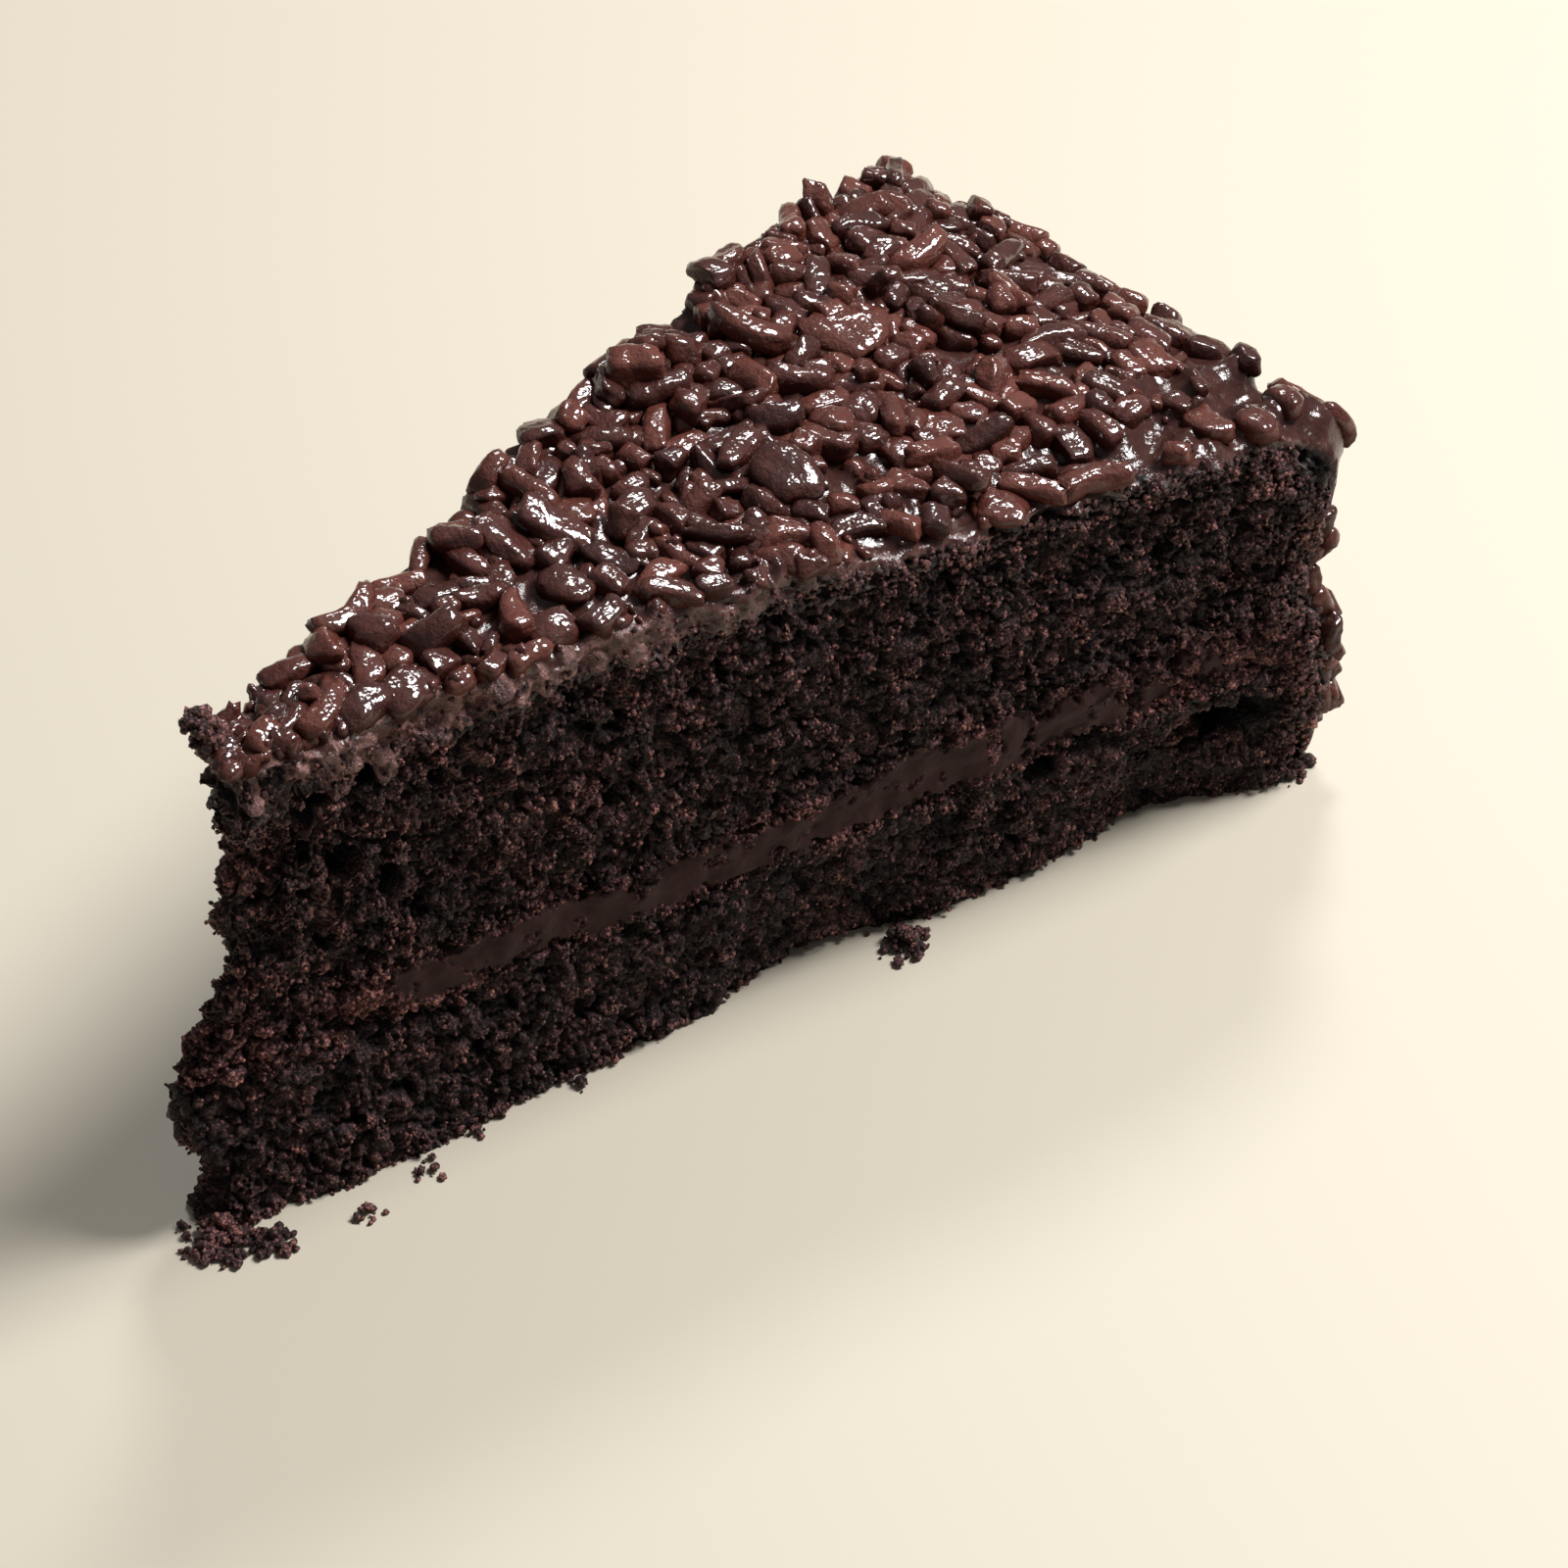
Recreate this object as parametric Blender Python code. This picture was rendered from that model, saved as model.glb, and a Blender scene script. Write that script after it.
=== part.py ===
# A slice of layered chocolate cake, lying as it was cut: two sponges with a filling between them,
# and a glaze over the top and the round outer side, with chocolate grains set in it.
# Metres, +Z up. X runs from the tip to the outer side, and the slice is cut alike on both sides of it.
# The origin is on the flat underside, halfway along the slice.

import math
import random

import bmesh
import bpy
from mathutils import Matrix, Vector, noise

MM = 0.001

# The slice in plan
SLICE_ANGLE = math.radians(27.0)
SPONGE_RADIUS = 115.8 * MM
TIP_RADIUS = 5.5 * MM
TIP_REACH = 14.0 * MM
APEX_X = -63.0 * MM

# The layers, as heights above the plate
LOWER_HEIGHT = 15.0 * MM
FILLING_BOTTOM = 15.3 * MM
FILLING_TOP = 21.3 * MM
UPPER_BOTTOM = 21.6 * MM
CENTRE_HEIGHT = 44.6 * MM
DOME_DROP = 6.2 * MM
SHOULDER = 4.5 * MM
GAP = 0.35 * MM

# The near cut sags where the top is widest, and the far one stands higher
SAG = 2.0 * MM
SAG_AT = 79.0 * MM
SAG_WIDTH = 21.0 * MM

# The glaze
GLAZE_AT_TIP = 4.6 * MM
GLAZE_AT_RIM = 2.7 * MM
GLAZE_HEM = 2.0 * MM

# The grains, the largest first
GRAIN_SPACING = 4.7 * MM
GRAIN_HALF_LENGTH = (2.0 * MM, 3.1 * MM)
GRAIN_HALF_WIDTH = (1.3 * MM, 1.9 * MM)
GRAIN_HALF_DEPTH = (0.95 * MM, 1.3 * MM)
GRAIN_LIFT = 0.6 * MM
GRAIN_EDGE = 0.9 * MM
GRAIN_SEED = 28

# The grid of each solid: steps along the slice, round the shoulder, across, and up
STEPS_ALONG = 22
STEPS_SHOULDER = 3
STEPS_ACROSS = 4
STEPS_UP = 4
STEPS_DOWN = 7

CRAG = 0.75 * MM
CRAG_PITCH = 5.0 * MM


def bell(value, centre, width):
    """A smooth bump, 1 at its centre and fading within about two widths."""
    return math.exp(-(((value - centre) / width) ** 2))


def dome(radius, side):
    """The height of the sponge's top before its shoulder. side is -1 on the near cut and 1 on the far one."""
    share = min(radius / SPONGE_RADIUS, 1.0)
    height = CENTRE_HEIGHT - DOME_DROP * share**4
    return height + SAG * side * bell(radius, SAG_AT, SAG_WIDTH)


def glaze_depth(radius):
    share = min(radius / SPONGE_RADIUS, 1.0)
    return GLAZE_AT_TIP + (GLAZE_AT_RIM - GLAZE_AT_TIP) * share


def side_bulge(height):
    """How far the round side stands out or in: the lower layer bulges, and a groove parts the two."""
    lower = 1.4 * MM * bell(height, 11.0 * MM, 8.0 * MM)
    groove = -2.2 * MM * bell(height, 24.0 * MM, 2.8 * MM)
    return lower + groove


def near_lean(radius, height):
    """How far the near cut stands out. Its foot spreads by the tip and is cut under in three places beyond."""
    fade = max(0.0, 1.0 - height / (15.0 * MM))
    spread = 2.5 * MM * bell(radius, 17.0 * MM, 19.0 * MM)
    under = 3.4 * MM * bell(radius, 66.0 * MM, 9.0 * MM)
    under += 1.2 * MM * bell(radius, 85.0 * MM, 12.0 * MM)
    under += 3.6 * MM * bell(radius, 102.0 * MM, 9.0 * MM)
    hole = 2.6 * MM * bell(radius, 107.0 * MM, 2.8 * MM) * bell(height, 9.5 * MM, 2.4 * MM)
    return (spread - under) * fade - hole


def far_lean(radius, height):
    """How far the far cut stands out: a lump of crumb beside the tip, low down."""
    return 2.0 * MM * bell(radius, 8.0 * MM, 7.0 * MM) * bell(height, 12.0 * MM, 6.0 * MM)


def tip_back(height):
    """How far the tip stands back. It leans away above the lower layer, which has a lump at its top."""
    above = min(max((height - 16.0 * MM) / (9.0 * MM), 0.0), 1.0)
    lean = 3.5 * MM * above * above * (3 - 2 * above)
    lump = 2.7 * MM * bell(height, 14.6 * MM, 3.4 * MM)
    crust = 0.8 * MM * bell(height, 50.0 * MM, 5.0 * MM)
    return lean - lump - crust


def ledge(radius, height):
    """The top crust stands a little proud of the crumb under it by the tip."""
    above = 1.0 / (1.0 + math.exp(-(height - 41.0 * MM) / (0.8 * MM)))
    return 0.9 * MM * above * bell(radius, 8.0 * MM, 15.0 * MM)


def crags(point):
    """Uneven crumb, as a length."""
    coarse = noise.noise(point / CRAG_PITCH)
    fine = noise.noise(point / (0.45 * CRAG_PITCH) + Vector((7.1, 3.3, 1.7)))
    return CRAG * (coarse + 0.6 * fine)


def place(radius, side, height, rough=1.0):
    """A point at a radius from the cuts' meeting line, across the slice and up. side runs from -1 to 1."""
    angle = side * SLICE_ANGLE / 2
    x = APEX_X + radius * math.cos(angle)
    y = radius * math.sin(angle)
    lean = near_lean(radius, height) if side < 0 else far_lean(radius, height)
    grit = rough * crags(Vector((x, y, height)))
    out = abs(side) ** 3 * (lean + ledge(radius, height) + grit)
    by_tip = max(0.0, 1.0 - (radius - TIP_RADIUS) / TIP_REACH)
    back = by_tip * (tip_back(height) - grit)
    half = SLICE_ANGLE / 2
    return Vector((x - out * math.sin(half) + back, y + out * math.copysign(math.cos(half), side), height))


def radii():
    """Radii along the slice, closer together round the shoulder, each with its angle round it."""
    straight = SPONGE_RADIUS - SHOULDER
    for i in range(STEPS_ALONG):
        yield TIP_RADIUS + (straight - TIP_RADIUS) * i / STEPS_ALONG, 0.0
    for i in range(STEPS_SHOULDER + 1):
        turn = math.pi / 2 * i / STEPS_SHOULDER
        yield straight + SHOULDER * math.sin(turn), turn


ALONG = list(radii())


def block(steps_along, steps_across, steps_up):
    """A cube cut into a grid, as a bmesh with corners from 0 to 1."""
    bm = bmesh.new()
    bmesh.ops.create_cube(bm, size=1.0, matrix=Matrix.Translation((0.5, 0.5, 0.5)))
    for axis, steps in enumerate((steps_along, steps_across, steps_up)):
        edges = [e for e in bm.edges if abs((e.verts[0].co - e.verts[1].co)[axis]) > 0.5]
        if steps > 1:
            bmesh.ops.subdivide_edges(bm, edges=edges, cuts=steps - 1, use_grid_fill=True)
    return bm


def solid(name, bm, material, collection):
    bmesh.ops.recalc_face_normals(bm, faces=bm.faces)
    mesh = bpy.data.meshes.new(name)
    bm.to_mesh(mesh)
    bm.free()
    mesh.set_sharp_from_angle(angle=math.radians(45))
    mesh.materials.append(material)
    obj = bpy.data.objects.new(name, mesh)
    collection.objects.link(obj)
    return obj


def flatten(bm, height):
    """Makes one flat face of the grid faces that lie at a height."""
    flat = [f for f in bm.faces if all(abs(v.co.z - height) < 0.01 * MM for v in f.verts)]
    bmesh.ops.dissolve_faces(bm, faces=flat, use_verts=False)


def layer(name, bottom, top, steps_up, material, collection, rough=1.0):
    """A layer of the slice from a height to a height, or up to the domed top where top is None."""
    bm = block(len(ALONG) - 1, STEPS_ACROSS, steps_up)
    for vert in bm.verts:
        u, v, w = vert.co
        radius, turn = ALONG[round(u * (len(ALONG) - 1))]
        side = 2 * v - 1
        if top is None:
            roof = dome(radius, side) - SHOULDER * (1 - math.cos(turn))
        else:
            roof = top
            radius = TIP_RADIUS + (SPONGE_RADIUS - TIP_RADIUS) * u
        height = bottom + (roof - bottom) * w
        radius += side_bulge(height) * max(0.0, (u - 0.9) / 0.1)
        vert.co = place(radius, side, height, rough)
    for height in (bottom, top):
        if height is not None:
            flatten(bm, height)
    return solid(name, bm, material, collection)


def glaze_path():
    """The line that the glaze lies on, from the tip over the shoulder and down the side, as points with their outward turn."""
    for radius, turn in ALONG:
        yield radius, turn, None
    shoulder_foot = dome(SPONGE_RADIUS, 0) - SHOULDER
    for i in range(1, STEPS_DOWN + 1):
        yield SPONGE_RADIUS, math.pi / 2, shoulder_foot + (GLAZE_HEM - shoulder_foot) * i / STEPS_DOWN


PATH = list(glaze_path())


def on_glaze(position, side, lift):
    """A point over the glaze's line. position counts along PATH, and lift is the height over the sponge."""
    index = min(int(position), len(PATH) - 2)
    share = position - index
    ends = []
    for radius, turn, height in PATH[index : index + 2]:
        if height is None:
            height = dome(radius, side) - SHOULDER * (1 - math.cos(turn))
        else:
            foot = dome(SPONGE_RADIUS, side) - dome(SPONGE_RADIUS, 0)
            height += foot * (height - GLAZE_HEM) / (dome(SPONGE_RADIUS, 0) - SHOULDER - GLAZE_HEM)
        ends.append((radius, turn, height))
    radius, turn, height = (a + (b - a) * share for a, b in zip(*ends))
    radius += side_bulge(height) * math.sin(turn) ** 4
    return place(radius + lift * math.sin(turn), side, height + lift * math.cos(turn))


def glaze_coat(name, material, collection):
    bm = block(len(PATH) - 1, STEPS_ACROSS, 1)
    for vert in bm.verts:
        u, v, w = vert.co
        position = u * (len(PATH) - 1)
        radius = PATH[round(position)][0]
        lift = GAP if w < 0.5 else glaze_depth(radius)
        vert.co = on_glaze(position, 2 * v - 1, lift)
    return solid(name, bm, material, collection)


def path_length(position):
    """The length along the glaze from the tip to a position on PATH, on the slice's middle line."""
    whole = int(position)
    length = sum((on_glaze(i + 1, 0, 0) - on_glaze(i, 0, 0)).length for i in range(whole))
    return length + (position - whole) * (on_glaze(min(whole + 1, len(PATH) - 1), 0, 0) - on_glaze(whole, 0, 0)).length


def grain_places():
    """(position, side) of each grain: rows one spacing apart, shifted by turns and a little uneven."""
    rng = random.Random(GRAIN_SEED)
    row_length = 2.2 * MM
    row = 0
    for index in range(len(PATH) - 1):
        start, end = path_length(index), path_length(index + 1)
        while row_length < end:
            position = index + (row_length - start) / (end - start)
            radius = PATH[index][0] if index > 0 else row_length + TIP_RADIUS
            half_width = radius * math.tan(SLICE_ANGLE / 2) - GRAIN_EDGE
            count = max(1, round(2 * half_width / GRAIN_SPACING))
            for i in range(count):
                across = (i + 0.5 + 0.25 * (row % 2 * 2 - 1)) / count * 2 - 1
                side = (across + rng.uniform(-0.12, 0.12) / count) * half_width / (half_width + GRAIN_EDGE)
                yield position + rng.uniform(-0.1, 0.1), max(-0.96, min(0.96, side))
            row_length += GRAIN_SPACING * 0.9
            row += 1


def grain(index, position, side, rng):
    """A rounded chip of chocolate, half sunk in the glaze."""
    bm = bmesh.new()
    bmesh.ops.create_icosphere(bm, subdivisions=1, radius=1.0)
    size = [rng.uniform(*span) for span in (GRAIN_HALF_LENGTH, GRAIN_HALF_WIDTH, GRAIN_HALF_DEPTH)]
    lift = glaze_depth(PATH[int(position)][0]) + GRAIN_LIFT
    centre = on_glaze(position, side, lift)
    up = (centre - on_glaze(position, side, 0)).normalized()
    level = Matrix.Rotation(rng.uniform(0, 2 * math.pi), 4, "Z")
    tilt = Matrix.Rotation(rng.gauss(0, math.radians(11)), 4, "Y")
    stand = up.to_track_quat("Z", "Y").to_matrix().to_4x4()
    scale = Matrix.Diagonal((*size, 1.0))
    bm.transform(Matrix.Translation(centre) @ stand @ level @ tilt @ scale)
    mesh = bpy.data.meshes.new(f"grain_{index}")
    bm.to_mesh(mesh)
    bm.free()
    return bpy.data.objects.new(mesh.name, mesh)


def largest_island(bm):
    """Removes loose scraps and the skins of sealed hollows, so that one closed body is left."""
    unseen = set(bm.verts)
    islands = []
    while unseen:
        stack = [unseen.pop()]
        island = set(stack)
        while stack:
            for edge in stack.pop().link_edges:
                for vert in edge.verts:
                    if vert in unseen:
                        unseen.remove(vert)
                        island.add(vert)
                        stack.append(vert)
        islands.append(island)
    islands.sort(key=len, reverse=True)
    extra = [v for island in islands[1:] for v in island]
    bmesh.ops.delete(bm, geom=extra, context="VERTS")


def set_grains(coat):
    """Joins the grains to the glaze as one body."""
    grains = bpy.data.collections.new("grains")
    bpy.context.scene.collection.children.link(grains)
    rng = random.Random(GRAIN_SEED + 1)
    for index, (position, side) in enumerate(grain_places()):
        if position < len(PATH) - 1.6:
            grains.objects.link(grain(index, position, side, rng))
    join = coat.modifiers.new("grains", "BOOLEAN")
    join.operation = "UNION"
    join.operand_type = "COLLECTION"
    join.collection = grains
    join.solver = "MANIFOLD"
    bpy.context.view_layer.update()
    joined = bpy.data.meshes.new_from_object(coat.evaluated_get(bpy.context.evaluated_depsgraph_get()))
    coat.modifiers.remove(join)
    coat.data = joined
    for obj in list(grains.objects):
        bpy.data.objects.remove(obj)
    bpy.data.collections.remove(grains)
    bm = bmesh.new()
    bm.from_mesh(joined)
    largest_island(bm)
    bm.to_mesh(joined)
    bm.free()


def chocolate(name, colour, roughness):
    material = bpy.data.materials.new(name)
    material.use_nodes = True
    shader = material.node_tree.nodes["Principled BSDF"]
    shader.inputs["Base Color"].default_value = (*colour, 1.0)
    shader.inputs["Roughness"].default_value = roughness
    shader.inputs["Metallic"].default_value = 0.0
    return material


def main():
    for obj in list(bpy.data.objects):
        bpy.data.objects.remove(obj)
    collection = bpy.data.collections.new("chocolate_cake_slice")
    bpy.context.scene.collection.children.link(collection)
    sponge = chocolate("sponge", (0.025, 0.011, 0.009), 0.9)
    cream = chocolate("filling", (0.030, 0.016, 0.013), 0.6)
    gloss = chocolate("glaze", (0.060, 0.024, 0.017), 0.3)
    layer("lower_sponge", 0.0, LOWER_HEIGHT, STEPS_UP, sponge, collection)
    layer("filling", FILLING_BOTTOM, FILLING_TOP, 2, cream, collection, rough=0.5)
    layer("upper_sponge", UPPER_BOTTOM, None, STEPS_UP + 1, sponge, collection)
    set_grains(glaze_coat("glaze", gloss, collection))


main()
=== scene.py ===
# The looks of a slice of layered chocolate cake: open crumb, a smooth filling, wet glaze and the
# chocolate grains set in it.
# X runs from the tip to the round outer side, the cut that the camera sees looks to -Y, and the
# slice stands on Z = 0. Lengths are in millimetres here, and build_mesh turns them into metres.

import math

import bpy
import numpy as np
from mathutils import Matrix, Vector, kdtree, noise

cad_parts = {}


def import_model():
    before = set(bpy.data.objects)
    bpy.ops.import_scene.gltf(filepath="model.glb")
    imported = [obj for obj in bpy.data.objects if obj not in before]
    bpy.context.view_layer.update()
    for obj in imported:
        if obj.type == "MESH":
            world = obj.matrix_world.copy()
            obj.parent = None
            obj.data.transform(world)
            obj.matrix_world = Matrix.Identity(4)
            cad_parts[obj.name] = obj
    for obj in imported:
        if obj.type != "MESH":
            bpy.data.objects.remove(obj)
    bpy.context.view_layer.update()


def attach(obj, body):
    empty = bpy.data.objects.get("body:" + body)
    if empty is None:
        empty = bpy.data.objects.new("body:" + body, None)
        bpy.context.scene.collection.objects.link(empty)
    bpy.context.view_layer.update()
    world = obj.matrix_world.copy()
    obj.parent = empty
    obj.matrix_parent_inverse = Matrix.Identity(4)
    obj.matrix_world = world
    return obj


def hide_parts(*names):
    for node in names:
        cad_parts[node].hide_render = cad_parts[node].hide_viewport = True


MM = 0.001

# The slice's own shape, the same values as in the part's source
HALF_ANGLE = math.radians(13.5)
SPONGE_RADIUS = 115.8
TIP_RADIUS = 5.5
TIP_REACH = 14.0
APEX_X = -63.0
LOWER_TOP = 15.0
FILLING_BOTTOM = 15.3
FILLING_TOP = 21.3
UPPER_BOTTOM = 21.6
CENTRE_HEIGHT = 44.6
DOME_DROP = 6.2
SHOULDER = 4.5
SAG = 2.0
SAG_AT = 79.0
SAG_WIDTH = 21.0
GAP = 0.35
GLAZE_AT_TIP = 4.6
GLAZE_AT_RIM = 2.7
GLAZE_HEM = 2.0
HANG = 2.6
CRAG = 0.75
CRAG_PITCH = 5.0

# The camera, fitted to the photograph
CAMERA_AT = (-273.08, -280.65, 367.49)
CAMERA_HEADING = math.radians(44.66)
CAMERA_DIP = math.radians(42.131)
CAMERA_ROLL = math.radians(1.348)
CAMERA_LENS = 135.0

# Mesh spacing
NEAR_STEP = 0.2
FAR_STEP = 0.55
RIM_STEP = 1.6
HEIGHT_STEP = 0.2
GLAZE_STEP = 0.32
GLAZE_ACROSS = 96
CUT_ROWS = 14

RANDOM = np.random.default_rng(28)
noise.seed_set(28)


# Noise

def perlin(points, pitch, shift=0.0):
    """Smooth noise from about -1 to 1, one value for each point."""
    return np.array([noise.noise(p) for p in (points / pitch + shift).tolist()])


def drift(points, pitch, amount):
    """The points moved about by smooth noise."""
    return points + amount * np.array([noise.noise_vector(p) for p in (points / pitch).tolist()])


def cells(points, pitch, shift=0.0):
    """Distances to the nearest and the second nearest of scattered centres, as shares of the pitch."""
    found = [noise.voronoi(p)[0][:2] for p in (points / pitch + shift).tolist()]
    return np.array(found).T


def knobs(distance, reach):
    """Round knobs, 1 high, at the centres that the distances were measured from."""
    return 1 - np.minimum(distance / reach, 1.0) ** 2


def smooth(value, low, high):
    share = np.clip((value - low) / (high - low), 0.0, 1.0)
    return share * share * (3 - 2 * share)


def bell(value, centre, width):
    """A smooth bump, 1 at its centre and fading within about two widths."""
    return np.exp(-(((value - centre) / width) ** 2))


# The slice's shape

def dome(radius, side):
    """Height of the sponge's top before its shoulder. side is -1 on the near cut and 1 on the far one."""
    share = np.minimum(radius / SPONGE_RADIUS, 1.0)
    return CENTRE_HEIGHT - DOME_DROP * share**4 + SAG * side * bell(radius, SAG_AT, SAG_WIDTH)


def glaze_depth(radius):
    return GLAZE_AT_TIP + (GLAZE_AT_RIM - GLAZE_AT_TIP) * np.minimum(radius / SPONGE_RADIUS, 1.0)


def side_bulge(height):
    """How far the round side stands out or in, with a groove between the two layers."""
    return 1.4 * bell(height, 11.0, 8.0) - 2.2 * bell(height, 24.0, 2.8)


def near_lean(radius, height):
    """How far the near cut stands out: its foot spreads by the tip and is cut under beyond."""
    fade = np.maximum(0.0, 1.0 - height / 15.0)
    under = 3.4 * bell(radius, 66.0, 9.0) + 1.2 * bell(radius, 85.0, 12.0) + 3.6 * bell(radius, 102.0, 9.0)
    hole = 2.6 * bell(radius, 107.0, 2.8) * bell(height, 9.5, 2.4)
    return (2.5 * bell(radius, 17.0, 19.0) - under) * fade - hole


def far_lean(radius, height):
    return 2.0 * bell(radius, 8.0, 7.0) * bell(height, 12.0, 6.0)


def tip_back(height):
    """How far the tip stands back. It leans away above the lower layer, which has a lump at its top."""
    return 3.5 * smooth(height, 16.0, 25.0) - 2.4 * bell(height, 13.6, 3.4) - 0.8 * bell(height, 50.0, 5.0)


def tip_wear(height):
    """Crumb torn off the tip under its crust, and crumb that still clings to it lower down."""
    torn = 1.6 * bell(height, 39.5, 3.0) + 0.6 * bell(height, 45.5, 3.5)
    clinging = 1.1 * bell(height, 33.3, 2.4) + 1.2 * bell(height, 22.5, 3.5)
    return torn - clinging - 1.0 * bell(height, 9.0, 3.0) - 1.0 * bell(height, 0.0, 2.5)


def ledge(radius, height):
    """The top crust stands a little proud of the crumb under it by the tip."""
    return 0.9 * bell(radius, 8.0, 15.0) / (1.0 + np.exp(-(height - 41.0) / 0.8))


def crags(points):
    """The cut's broad unevenness, the same as in the part's source."""
    coarse = perlin(points, CRAG_PITCH)
    fine = perlin(points, 0.45 * CRAG_PITCH, np.array((7.1, 3.3, 1.7)))
    return CRAG * (coarse + 0.6 * fine)


def place(radius, side, height):
    """Points of the slice at radii from the line where the cuts meet, across the slice and up."""
    radius, side, height = np.broadcast_arrays(radius, side, height)
    angle = side * HALF_ANGLE
    x = APEX_X + radius * np.cos(angle)
    y = radius * np.sin(angle)
    lean = np.where(side < 0, near_lean(radius, height), far_lean(radius, height))
    flat = np.stack([x, y, height], -1).reshape(-1, 3)
    grit = crags(flat).reshape(x.shape)
    out = np.abs(side) ** 3 * (lean + ledge(radius, height) + grit)
    by_tip = np.maximum(0.0, 1.0 - (radius - TIP_RADIUS) / TIP_REACH)
    back = by_tip * (tip_back(height) + tip_wear(height) - grit)
    x = x - out * math.sin(HALF_ANGLE) + back
    y = y + out * np.where(side < 0, -1.0, 1.0) * math.cos(HALF_ANGLE)
    return np.stack([x, y, height], -1)


# Where the layers meet at the cuts

def along(radius, height, side):
    """A point for noise that runs along a cut."""
    return np.stack([radius, 40.0 * side, height], -1)


def filling_low(radius, side):
    wander = perlin(along(radius, radius * 0, side), 7.0) + 0.5 * perlin(along(radius, radius * 0, side), 2.6, 4.0)
    return FILLING_BOTTOM + 0.4 * wander


def filling_high(radius, side):
    """The filling thickens towards the outer side."""
    wander = perlin(along(radius, radius * 0, side), 8.0, 9.0) + 0.5 * perlin(along(radius, radius * 0, side), 2.8, 2.0)
    return FILLING_TOP + 2.2 * smooth(radius, 55.0, 88.0) + 0.45 * wander


def glaze_low(radius, side):
    """How far above the crust's line the glaze starts at a cut. Crumb is dragged over it beyond the middle."""
    wander = perlin(along(radius, radius * 0, side), 5.0, 5.0) + 0.7 * perlin(along(radius, radius * 0, side), 2.0, 8.0)
    dragged = 0.9 * smooth(radius, 58.0, 80.0) * smooth(-side, 0.0, 1.0)
    by_rim = smooth(radius, SPONGE_RADIUS - 2 * SHOULDER, SPONGE_RADIUS - 0.6 * SHOULDER)
    return np.maximum(0.05, (0.45 + dragged + 0.6 * wander) * (1 - by_rim))


def hang(radius, side):
    """How far down the glaze is dragged over the crumb at the near cut, by the tip."""
    where = along(radius, radius * 0, side)
    ragged = perlin(where, 3.4, 15.0) + 0.6 * perlin(where, 1.3, 17.0)
    return HANG * (1 - smooth(radius, 20.0, 40.0)) * smooth(-side, 0.0, 1.0) * smooth(ragged, -0.5, 0.4)


def roof(radius, side):
    """Height of the sponge's top, with its round shoulder."""
    past = np.clip(radius - (SPONGE_RADIUS - SHOULDER), 0.0, SHOULDER)
    return dome(radius, side) - (SHOULDER - np.sqrt(SHOULDER**2 - past**2))


# Meshes

def grid_normals(grid):
    """Outward directions of a grid of rings, each ring closed."""
    along_ring = np.roll(grid, -1, 1) - np.roll(grid, 1, 1)
    across = np.gradient(grid, axis=0)
    normal = np.cross(along_ring, across)
    for _ in range(3):
        normal = np.roll(normal, 1, 1) + 2 * normal + np.roll(normal, -1, 1)
    return normal / np.maximum(np.linalg.norm(normal, axis=-1, keepdims=True), 1e-9)


def build_mesh(name, points, faces, material, **fields):
    """A smooth-shaded object from points in millimetres. Each field is a value at every point."""
    mesh = bpy.data.meshes.new(name)
    points = np.concatenate([points[:, :2], np.maximum(points[:, 2:], 0.0)], 1)
    mesh.from_pydata((points * MM).tolist(), [], faces)
    for field, values in fields.items():
        mesh.attributes.new(field, "FLOAT", "POINT").data.foreach_set("value", values.astype(np.float32))
    mesh.shade_smooth()
    mesh.materials.append(material)
    obj = bpy.data.objects.new(name, mesh)
    bpy.context.scene.collection.objects.link(obj)
    return obj


def tube(name, grid, material, **fields):
    """A closed body from rings of points, capped at both ends."""
    rings, around = grid.shape[:2]
    index = np.arange(rings * around).reshape(rings, around)
    turned = np.roll(index, -1, 1)
    walls = np.stack([index[:-1], turned[:-1], turned[1:], index[1:]], -1).reshape(-1, 4).tolist()
    caps = [index[0, ::-1].tolist(), index[-1].tolist()]
    return build_mesh(name, grid.reshape(-1, 3), walls + caps, material, **fields)


# Crumb and filling

HOLES = (
    # radius, height, half width, half height, depth
    (18.3, 35.2, 1.5, 1.5, 3.6),
    (22.8, 30.9, 1.0, 1.9, 3.2),
    (13.0, 41.4, 1.3, 1.1, 2.6),
    (27.5, 40.6, 0.8, 0.8, 1.8),
    (36.5, 36.5, 0.8, 0.7, 1.6),
    (44.0, 30.5, 0.7, 0.9, 1.6),
    (88.5, 14.0, 1.8, 1.2, 1.8),
    (94.0, 15.0, 2.6, 1.3, 2.0),
    (77.5, 11.5, 1.6, 0.8, 1.6),
    (110.3, 9.9, 3.2, 1.9, 2.8),
)
CRACK = (9.0, 24.0, 42.6, 0.45, 2.2)


def holes(radius, height, side):
    """The deep holes and the crack under the crust on the near cut."""
    deep = np.zeros_like(radius)
    for at, up, width, tall, depth in HOLES:
        reach = ((radius - at) / width) ** 2 + ((height - up) / tall) ** 2
        deep = np.maximum(deep, depth * np.exp(-(reach**2)))
    start, end, up, half, depth = CRACK
    line = up + 0.5 * np.sin(radius * 0.9) + 0.1 * (radius - start)
    inside = smooth(radius, start, start + 2) * (1 - smooth(radius, end - 3, end))
    deep = np.maximum(deep, depth * inside * np.exp(-(((height - line) / half) ** 2)))
    return deep * (side < 0)


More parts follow.
